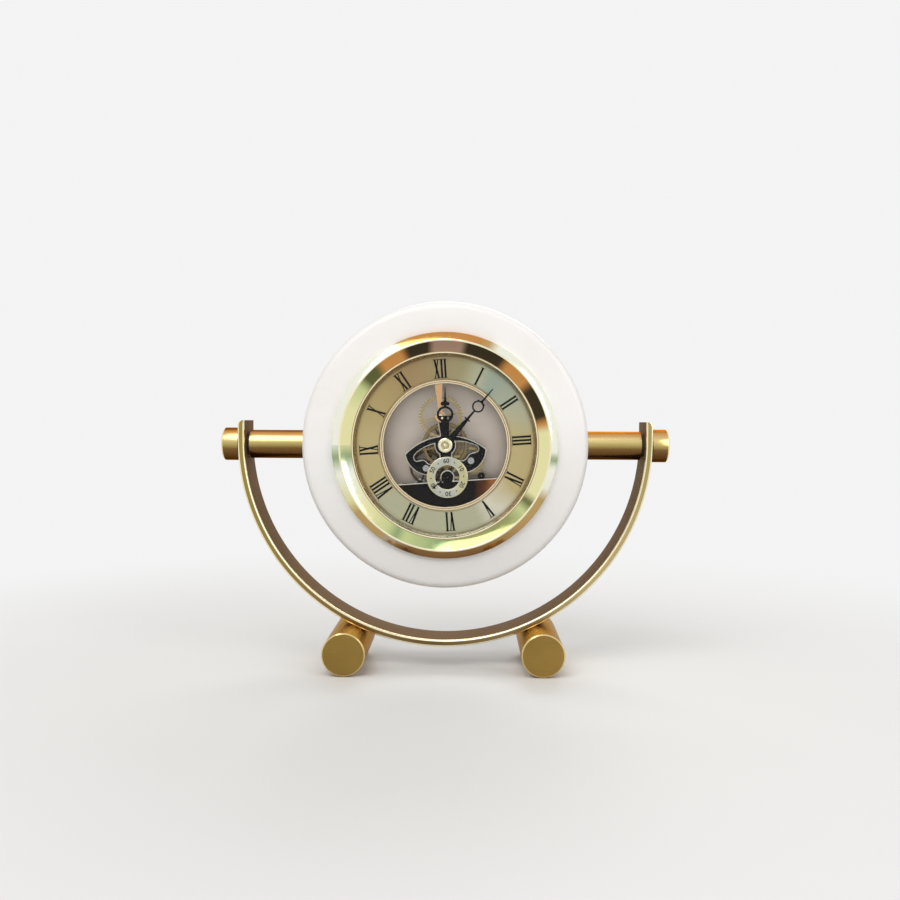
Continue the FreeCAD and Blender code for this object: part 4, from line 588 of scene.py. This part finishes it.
FOOT_HALF = 34.0 * MM
FOOT_BEVEL = 1.0 * MM


def foot(node):
    """A foot with a brushed side, a turned face darkened as painted reflection and a bevel between them
    lightened as painted highlight.
    """
    bm = copied(node)
    bm.normal_update()
    for face in bm.faces:
        along = abs(face.normal.y)
        at_end = abs(face.calc_center_median().y) > FOOT_HALF - FOOT_BEVEL
        face.material_index = 0 if not at_end else 1 if along > 0.95 else 2
    smooth(bm)
    add_mesh(f"{node}_finished", bm, [FOOT_SIDE, FOOT_FACE, FOOT_RIM], STAND, [node])


TURNING_STEPS = 192
SIDES = {side: PIVOT @ Matrix.Rotation(math.radians(-90 * side), 4, "Z") for side in (-1, 1)}


def turned(name, body, profile, materials, nodes=(), place=DIAL, middle=(0, 0), steps=TURNING_STEPS):
    """A lathe piece from a closed profile of (radius, place along the axis, material of the next face)."""
    bm = bmesh.new()
    rings = []
    for radius, along, _ in profile:
        count = steps if radius > 0 else 1
        points = circle_points(*middle, radius, count)
        rings.append([bm.verts.new(place @ Vector((x * MM, along * MM, z * MM))) for x, z in points])
    for index, (ring, (_, _, material)) in enumerate(zip(rings, profile)):
        following = rings[(index + 1) % len(rings)]
        if len(ring) == 1 and len(following) == 1:
            continue
        for step in range(steps):
            after = (step + 1) % steps
            corners = [ring[step % len(ring)], ring[after % len(ring)]]
            corners += [following[after % len(following)], following[step % len(following)]]
            face = bm.faces.new(list(dict.fromkeys(corners)))
            face.material_index = material
    bmesh.ops.recalc_face_normals(bm, faces=bm.faces)
    smooth(bm)
    return add_mesh(name, bm, materials, body, nodes)


def circle_points(x, z, radius, count=16):
    turns = [index * math.tau / count for index in range(count)]
    return [(x + radius * math.cos(turn), z + radius * math.sin(turn)) for turn in turns]


def arc(radius, along, size, start, end, count=8):
    """Profile points on a quarter round, centred at a radius and a place along the axis."""
    turns = [math.radians(start + (end - start) * index / count) for index in range(count + 1)]
    return [(radius + size * math.cos(turn), along + size * math.sin(turn), 0) for turn in turns]


bevelled("front_plate", HEAD, 0.62 * MM, BLACK, EDGE_BRIGHT, True)
bevelled("lower_plate", HEAD, 0.62 * MM, lower_plate_material(), EDGE_BRIGHT, True)
bevelled("upper_bridge", HEAD, 0.2 * MM, COPPER, EDGE_BRIGHT)
bevelled("battery_door", "battery_door", 0.2 * MM, DOOR, DOOR)
bevelled("minute_hand", "minute", 0.1 * MM, HAND_BLACK, HAND_BLACK)
bevelled("hour_hand", "hour", 0.1 * MM, HAND_BLACK, HAND_BLACK)
foot("left_foot")
foot("right_foot")

# The bow: a rounded strip along two short arms and half a circle
BOW_INNER, BOW_OUTER, BOW_HALF = 133.0, 137.5, 14.25
BOW_RISE, BOW_CORNER, BOW_EDGE = 12.6, 3.2, 1.1
BOW_STEPS, CORNER_STEPS, EDGE_STEPS = 160, 6, 4
STUD_RADIUS, STUD_REACH, WASHER_RADIUS = 5.1, 150, 8.5


def bow_section():
    """Outline of the strip across its length: (radius, y, material of the next face)."""
    out = []
    corners = ((1, 1, 0), (-1, 1, 90), (-1, -1, 180), (1, -1, 270))
    middle = (BOW_INNER + BOW_OUTER) / 2
    across = (BOW_OUTER - BOW_INNER) / 2 - BOW_EDGE
    for side_r, side_y, start in corners:
        for step in range(EDGE_STEPS + 1):
            turn = math.radians(start + step * 90 / EDGE_STEPS)
            radius = middle + side_r * across + BOW_EDGE * math.cos(turn)
            depth = side_y * (BOW_HALF - BOW_EDGE) + BOW_EDGE * math.sin(turn)
            out.append((radius, depth, 0 if step == EDGE_STEPS else 1))
    return out


def bow_stations():
    """(place along the strip as a function of radius, thickness share, width share) from arm to arm."""
    def on_arm(side, height):
        return lambda radius: (side * radius, height)

    def on_bend(turn):
        return lambda radius: (radius * math.cos(turn), radius * math.sin(turn))

    top = []
    for step in range(CORNER_STEPS + 1):
        turn = math.radians(90 - 90 * step / CORNER_STEPS)
        share = 1 - BOW_CORNER * (1 - math.cos(turn)) / (BOW_OUTER - BOW_INNER)
        top.append((BOW_RISE - BOW_CORNER * (1 - math.sin(turn)), share, 0.97 if step == 0 else 1.0))
    out = [(on_arm(-1, height), thick, wide) for height, thick, wide in top]
    for step in range(BOW_STEPS + 1):
        out.append((on_bend(math.pi + math.pi * step / BOW_STEPS), 1.0, 1.0))
    out += [(on_arm(1, height), thick, wide) for height, thick, wide in reversed(top)]
    return out


def without(bm, *tools):
    """The mesh less round bars along X: (radius, half length), all on the pivot axis."""
    scene = bpy.context.scene
    made = []
    meshes = [bm]
    for radius, reach in tools:
        tool = bmesh.new()
        turn = SIDES[1] @ Matrix.Rotation(math.radians(90), 4, "X")
        bmesh.ops.create_cone(
            tool, cap_ends=True, segments=64, radius1=radius * MM, radius2=radius * MM,
            depth=2 * reach * MM, matrix=turn,
        )
        meshes.append(tool)
    for each in meshes:
        mesh = bpy.data.meshes.new("cutting")
        each.to_mesh(mesh)
        each.free()
        made.append(bpy.data.objects.new("cutting", mesh))
        scene.collection.objects.link(made[-1])
    for tool in made[1:]:
        modifier = made[0].modifiers.new("cut", "BOOLEAN")
        modifier.object = tool
        modifier.solver = "EXACT"
    result = bmesh.new()
    result.from_object(made[0], bpy.context.evaluated_depsgraph_get())
    for each in made:
        bpy.data.objects.remove(each)
    bmesh.ops.remove_doubles(result, verts=result.verts, dist=1e-6)
    return result


def bow():
    """The strip as a sweep of its section, with the two bores and the seats of the washers."""
    section = bow_section()
    bm = bmesh.new()
    loops = []
    for at, thick, wide in bow_stations():
        loop = []
        for radius, depth, _ in section:
            x, z = at(BOW_INNER + (radius - BOW_INNER) * thick)
            loop.append(bm.verts.new((x * MM, PIVOT_DEPTH + depth * wide * MM, BOW_CENTRE + z * MM)))
        loops.append(loop)
    for loop, following in zip(loops, loops[1:]):
        for index, (_, _, material) in enumerate(section):
            after = (index + 1) % len(section)
            face = bm.faces.new((loop[index], loop[after], following[after], following[index]))
            face.material_index = material
    bm.faces.new(loops[0])
    bm.faces.new(loops[-1])
    bmesh.ops.recalc_face_normals(bm, faces=bm.faces)
    bm = without(bm, (STUD_RADIUS, STUD_REACH), (WASHER_RADIUS, BOW_INNER))
    smooth(bm)
    add_mesh("stand_bow_finished", bm, [bow_material(), BRASS_EDGE], STAND, ["stand_bow"])


bow()

# The ring, with rounded outer edges and a softened bore
RING_OUTER, RING_BORE, RING_HALF, RING_ROUND, BORE_ROUND = 95.0, 66.5, 16.0, 5.0, 0.8
turned(
    "moon_ring_finished", HEAD,
    [
        *arc(RING_BORE + BORE_ROUND, BORE_ROUND - RING_HALF, BORE_ROUND, 180, 270, 4),
        *arc(RING_OUTER - RING_ROUND, RING_ROUND - RING_HALF, RING_ROUND, -90, 0),
        *arc(RING_OUTER - RING_ROUND, RING_HALF - RING_ROUND, RING_ROUND, 0, 90),
        *arc(RING_BORE + BORE_ROUND, RING_HALF - BORE_ROUND, BORE_ROUND, 90, 180, 4),
    ],
    [ring_material()], ["moon_ring"], steps=256,
)

# The bezel: a bright lip, the slope up to the ridge, the ridge and the flange, with painted reflections
# round the slope and flange, a painted highlight on the lip and ridge top and painted shade in the dip of
# the lip
turned(
    "bezel_finished", HEAD,
    [
        (60.6, -18.0, 2), (60.6, -18.75, 2), (60.75, -18.9, 2), (61.3, -18.95, 3), (61.45, -18.85, 3),
        (61.75, -18.9, 0), (65.0, -20.35, 0), (68.45, -21.8, 2), (68.7, -21.95, 2), (69.3, -22.0, 2),
        (69.65, -21.85, 1), (74.0, -19.0, 1), (74.4, -18.6, 1), (74.5, -18.3, 1), (74.5, -16.0, 1),
        (63.2, -16.0, 1), (63.2, -18.0, 1),
    ],
    [
        bezel_material("bezel_slope", SLOPE_TURN, 0.10),
        bezel_material("bezel_flange", FLANGE_TURN, 0.13),
        polished("bezel_line", (0.93, 0.88, 0.62), 0.14),
        RIM_SHADE,
    ],
    ["bezel"], steps=256,
)

# The dial, the slope behind the glass, the rim of the opening and the ring of the seconds
SECONDS_DROP = 21.4
SECONDS_FACE = -10.9
turned(
    "dial_ring_finished", HEAD,
    [(41.5, -11.2, 0), (61.8, -11.2, 0), (61.8, -10.4, 0), (41.5, -10.4, 0)],
    [dial_material()], ["dial_ring"],
)
# The slope behind the glass, with painted reflections round it and a pale painted reflection along the
# bottom
turned(
    "dial_rehaut_finished", HEAD,
    [
        (60.6, -16.2, 0), (60.45, -15.3, 1), (60.35, -15.1, 0), (60.0, -13.2, 1), (59.95, -13.0, 0),
        (59.6, -11.2, 0), (63.1, -11.2, 0), (63.1, -16.2, 0),
    ],
    [bezel_material("rehaut_gold", REHAUT_TURN, 0.22), RIM_SHADE], ["dial_rehaut"],
)
turned(
    "dial_inner_rim_finished", HEAD,
    [
        (41.0, -10.4, 0), (41.0, -11.5, 0), (41.15, -11.75, 0), (41.9, -11.8, 1), (42.0, -11.6, 1),
        (42.3, -11.6, 1), (42.4, -11.75, 0), (43.2, -11.7, 1), (43.45, -11.35, 1), (43.8, -11.2, 0),
        (41.45, -11.2, 0), (41.45, -10.4, 0),
    ],
    [RIM_GOLD, RIM_SHADE], ["dial_inner_rim"],
)
turned(
    "seconds_ring_finished", HEAD,
    [
        (8.1, -10.4, 1), (8.1, -10.75, 1), (8.4, SECONDS_FACE, 0), (13.35, SECONDS_FACE, 1),
        (13.7, -10.7, 1), (13.7, -10.4, 1),
    ],
    [seconds_material(), polished("seconds_edge", (0.86, 0.80, 0.56), 0.3)],
    ["seconds_ring"], middle=(0, -SECONDS_DROP), steps=96,
)
# The hand cap, with a painted reflection in olive on its inner step
turned(
    "hand_cap_finished", "minute",
    [
        (0, -14.95, 0), (0.8, -14.9, 0), (1.05, -14.72, 1), (1.15, -14.5, 1), (2.2, -14.4, 1),
        (2.35, -14.2, 1), (2.6, -14.2, 0), (2.75, -14.7, 0), (3.1, -14.85, 0), (4.2, -14.75, 0),
        (4.75, -14.45, 0), (4.9, -14.1, 0), (4.9, -13.55, 0), (1.6, -13.55, 0), (1.6, -13.7, 0),
        (0, -13.7, 0),
    ],
    [CAP_GOLD, CAP_OLIVE], ["hand_cap"], steps=64,
)
# A raised collar and a grey ring, painted shade of the groove, on each screw of the front plate
PLATE_SCREWS = ((-13.8, -14.5), (16.4, -11.4))
for number, spot in enumerate(PLATE_SCREWS, 1):
    turned(
        f"plate_screw_collar_{number}", HEAD,
        [
            (1.8, -10.42, 0), (1.8, -10.8, 0), (1.9, -10.9, 0), (2.0, -10.85, 0), (2.15, -10.65, 0),
            (2.15, -10.42, 0),
        ],
        [WHITE], middle=spot, steps=48,
    )
    turned(
        f"plate_screw_groove_{number}", HEAD,
        [(0.55, -10.88, 0), (0.55, -10.93, 0), (1.05, -10.93, 0), (1.05, -10.88, 0)],
        [GROOVE], middle=spot, steps=32,
    )

# Rods and end caps
for side, word in ((-1, "left"), (1, "right")):
    turned(
        f"{word}_rod_finished", HEAD,
        [(0, 93.6, 0), (9.5, 93.6, 0), (9.5, 130.9, 1), (9.1, 131.3, 0), (0, 131.3, 0)],
        [ROD_GOLD, RIM_GLINT], [f"{word}_rod"], place=SIDES[side], steps=96,
    )
    turned(
        f"{word}_end_cap_finished", HEAD,
        [
            (5.0, 138.2, 0), (10.8, 138.2, 0), (11.0, 138.4, 0), (11.0, 148.2, 1), (10.7, 148.75, 1),
            (10.2, 149.15, 1), (9.6, 149.2, 0), (9.4, 149.05, 0), (0, 149.05, 0), (0, 148.0, 0),
            (5.0, 148.0, 0),
        ],
        [END_GOLD, RIM_GLINT], [f"{word}_end_cap"], place=SIDES[side], steps=96,
    )


def stroke(bm, corners, depth, thickness):
    """A flat convex printed shape on a plane of the dial frame."""
    front = [bm.verts.new(DIAL @ Vector((x * MM, (depth - thickness) * MM, z * MM))) for x, z in corners]
    back = [bm.verts.new(DIAL @ Vector((x * MM, depth * MM, z * MM))) for x, z in corners]
    bm.faces.new(front)
    bm.faces.new(back)
    for index in range(len(corners)):
        after = (index + 1) % len(corners)
        bm.faces.new((front[index], back[index], back[after], front[after]))


def placed(corners, angle, radius):
    """Corners of a sign, turned so that its top points outwards at a clock angle."""
    turn = math.radians(angle)
    out = []
    for x, z in corners:
        reach = radius + z
        across = x * math.cos(turn) + reach * math.sin(turn)
        out.append((across, reach * math.cos(turn) - x * math.sin(turn)))
    return out


DIAL_FACE = -11.2
PRINT = 0.04
NUMERAL_HEIGHT = 12.6
NUMERAL_RADIUS = 50.9
THICK, THIN, SERIF = 1.35, 0.7, 0.42
ADVANCE = {"I": 2.35, "V": 4.2, "X": 4.4}
NUMERALS = ["XII", "I", "II", "III", "IV", "V", "VI", "VII", "VIII", "IX", "X", "XI"]


def bar(x0, z0, x1, z1, width):
    """A stroke with level ends."""
    half = width / 2
    return [(x0 - half, z0), (x0 + half, z0), (x1 + half, z1), (x1 - half, z1)]


def glyph(letter, x):
    """The strokes of one letter whose middle is at x."""
    top, low = NUMERAL_HEIGHT / 2, -NUMERAL_HEIGHT / 2
    reach = ADVANCE[letter] / 2 - THICK * 0.75
    if letter == "I":
        shapes = [bar(x, low, x, top, THICK)]
        feet = [(x, low), (x, top)]
    elif letter == "V":
        shapes = [bar(x, low, x - reach, top, THICK), bar(x, low, x + reach, top, THIN)]
        feet = [(x - reach, top), (x + reach, top)]
    else:
        shapes = [bar(x + reach, low, x - reach, top, THICK), bar(x - reach, low, x + reach, top, THIN)]
        feet = [(x - reach, top), (x + reach, top), (x - reach, low), (x + reach, low)]
    for foot_x, foot_z in feet:
        inner = foot_z - math.copysign(SERIF, foot_z)
        half = THICK * 0.85
        low_side = [(foot_x - half, inner), (foot_x + half, inner)]
        shapes.append(low_side + [(foot_x + half, foot_z), (foot_x - half, foot_z)])
    return shapes


bm = bmesh.new()
for hour, numeral in enumerate(NUMERALS):
    x = -sum(ADVANCE[letter] for letter in numeral) / 2
    for letter in numeral:
        for corners in glyph(letter, x + ADVANCE[letter] / 2):
            stroke(bm, placed(corners, hour * 30, NUMERAL_RADIUS), DIAL_FACE, PRINT)
        x += ADVANCE[letter]
bmesh.ops.recalc_face_normals(bm, faces=bm.faces)
add_mesh("hour_numerals", bm, [PRINT_BLACK], HEAD)


# Thin printed lines at the two edges of the dial
for name, radius, width in (
    ("outer_line", 58.75, 0.22), ("outermost_line", 59.3, 0.16), ("inner_line", 44.15, 0.16),
):
    turned(
        f"dial_{name}", HEAD,
        [
            (radius, DIAL_FACE, 0), (radius, DIAL_FACE - PRINT, 0),
            (radius + width, DIAL_FACE - PRINT, 0), (radius + width, DIAL_FACE, 0),
        ],
        [PRINT_BROWN],
    )


# Seconds numbers and dots
NUMBER_HEIGHT, NUMBER_RADIUS, NUMBER_WEIGHT = 2.9, 10.85, 0.045
DOT_SIZE, DOT_RADIUS = 0.42, 10.9
CAPITAL_SHARE = 0.7


def number_mesh(text, height):
    """A number as flat faces, centred, in millimetres."""
    curve = bpy.data.curves.new("number", "FONT")
    curve.body = text
    curve.size = height / CAPITAL_SHARE
    curve.align_x = "CENTER"
    curve.align_y = "CENTER"
    curve.offset = NUMBER_WEIGHT
    holder = bpy.data.objects.new("number", curve)
    bpy.context.scene.collection.objects.link(holder)
    mesh = bpy.data.meshes.new_from_object(holder.evaluated_get(bpy.context.evaluated_depsgraph_get()))
    bpy.data.objects.remove(holder)
    return mesh


def raised(bm, flat, spots, depth, thickness):
    """A flat mesh as a printed shape on a plane of the dial frame, its corners put at the spots."""
    front = [bm.verts.new(DIAL @ Vector((x * MM, (depth - thickness) * MM, z * MM))) for x, z in spots]
    back = [bm.verts.new(DIAL @ Vector((x * MM, depth * MM, z * MM))) for x, z in spots]
    for face in flat.faces:
        corners = [vert.index for vert in face.verts]
        bm.faces.new([front[index] for index in corners])
        bm.faces.new([back[index] for index in corners])
    for edge in flat.edges:
        if edge.is_boundary:
            start, end = (vert.index for vert in edge.verts)
            bm.faces.new((front[start], back[start], back[end], front[end]))


bm = bmesh.new()
for index in range(6):
    angle = index * 60
    flat = bmesh.new()
    flat.from_mesh(number_mesh(str(index * 10 or 60), NUMBER_HEIGHT))
    bmesh.ops.remove_doubles(flat, verts=flat.verts, dist=0.01)
    flat.verts.index_update()
    spots = placed([(vert.co.x, vert.co.y) for vert in flat.verts], angle, NUMBER_RADIUS)
    raised(bm, flat, [(x, z - SECONDS_DROP) for x, z in spots], SECONDS_FACE, PRINT)
    flat.free()
    dot = placed(circle_points(0, 0, DOT_SIZE), angle + 30, DOT_RADIUS)
    stroke(bm, [(x, z - SECONDS_DROP) for x, z in dot], SECONDS_FACE, PRINT)
bmesh.ops.recalc_face_normals(bm, faces=bm.faces)
add_mesh("seconds_numbers", bm, [PRINT_BLACK], HEAD)


# Stage: a pale floor, soft lamps and the camera

PALE = 0.9


def seen_rays(tree):
    """1 for the camera and for what metal and glass show, 0 for soft light."""
    path = tree.nodes.new("ShaderNodeLightPath")
    result = path.outputs["Is Camera Ray"]
    for ray in ("Is Glossy Ray", "Is Transmission Ray"):
        either = tree.nodes.new("ShaderNodeMath")
        either.operation = "MAXIMUM"
        tree.links.new(result, either.inputs[0])
        tree.links.new(path.outputs[ray], either.inputs[1])
        result = either.outputs[0]
    return result


def floor_material():
    """A pale floor that runs into the colour of the background away from the object."""
    graph = Graph("pale_floor")
    cloud = graph.noise(graph.coords, 3, 4)
    graph.colour(graph.ramp(cloud, [(0.3, (0.80, 0.79, 0.77)), (0.7, (0.83, 0.82, 0.80))]))
    graph.plain(Roughness=0.6)
    split = graph.add("ShaderNodeSeparateXYZ")
    graph.link(graph.coords, split.inputs[0])
    squares = [graph.math("MULTIPLY", split.outputs[axis], split.outputs[axis]) for axis in (0, 1)]
    reach = graph.math("SQRT", graph.math("ADD", *squares))
    away = graph.add("ShaderNodeMapRange", interpolation_type="SMOOTHSTEP")
    away.inputs["From Min"].default_value = 0.16
    away.inputs["From Max"].default_value = 0.6
    graph.link(reach, away.inputs["Value"])
    glow = graph.add("ShaderNodeEmission")
    glow.inputs["Strength"].default_value = PALE
    mix = graph.add("ShaderNodeMixShader")
    graph.link(graph.math("MULTIPLY", away.outputs[0], seen_rays(graph.tree)), mix.inputs[0])
    graph.link(graph.shader.outputs[0], mix.inputs[1])
    graph.link(glow.outputs[0], mix.inputs[2])
    graph.link(mix.outputs[0], graph.tree.nodes["Material Output"].inputs["Surface"])
    return graph.material


bm = bmesh.new()
bmesh.ops.create_grid(bm, x_segments=2, y_segments=2, size=12.0)
floor_mesh = bpy.data.meshes.new("floor")
bm.to_mesh(floor_mesh)
bm.free()
floor = bpy.data.objects.new("floor", floor_mesh)
floor_mesh.materials.append(floor_material())
bpy.context.scene.collection.objects.link(floor)

world = bpy.data.worlds.new("studio")
bpy.context.scene.world = world
world.use_nodes = True
tree = world.node_tree
background = tree.nodes["Background"]
background.inputs["Color"].default_value = (1, 1, 1, 1)
level = tree.nodes.new("ShaderNodeMapRange")
level.inputs["To Min"].default_value = 0.45
level.inputs["To Max"].default_value = PALE
tree.links.new(seen_rays(tree), level.inputs["Value"])
tree.links.new(level.outputs[0], background.inputs["Strength"])


def lamp(name, spot, size, power, target=(0, 0, 0.14)):
    """A soft box that faces the target."""
    light = bpy.data.lights.new(name, "AREA")
    light.shape = "RECTANGLE"
    light.size, light.size_y = size
    light.energy = power
    holder = bpy.data.objects.new(name, light)
    holder.location = spot
    holder.rotation_euler = (Vector(target) - Vector(spot)).to_track_quat("-Z", "Y").to_euler()
    bpy.context.scene.collection.objects.link(holder)


lamp("key", (-0.5, -0.9, 1.3), (1.3, 1.0), 12)
lamp("fill", (1.1, -0.9, 0.7), (0.7, 0.9), 5)
lamp("back", (0.2, 1.1, 0.9), (0.9, 0.5), 5)

SENSOR = 36.0
FOCAL_SHARE = 935 / 900
CAMERA_SPOT = (0.0146, -0.626, 0.164)
CAMERA_TURN = (88.24, -0.3, 0.26)
view = bpy.data.cameras.new("camera")
view.sensor_width = SENSOR
view.lens = SENSOR * FOCAL_SHARE
view.clip_start = 0.01
view.shift_x = -0.0145
camera = bpy.data.objects.new("camera", view)
camera.location = CAMERA_SPOT
camera.rotation_euler = [math.radians(turn) for turn in CAMERA_TURN]
bpy.context.scene.collection.objects.link(camera)
bpy.context.scene.camera = camera

bpy.context.scene.view_settings.view_transform = "Standard"
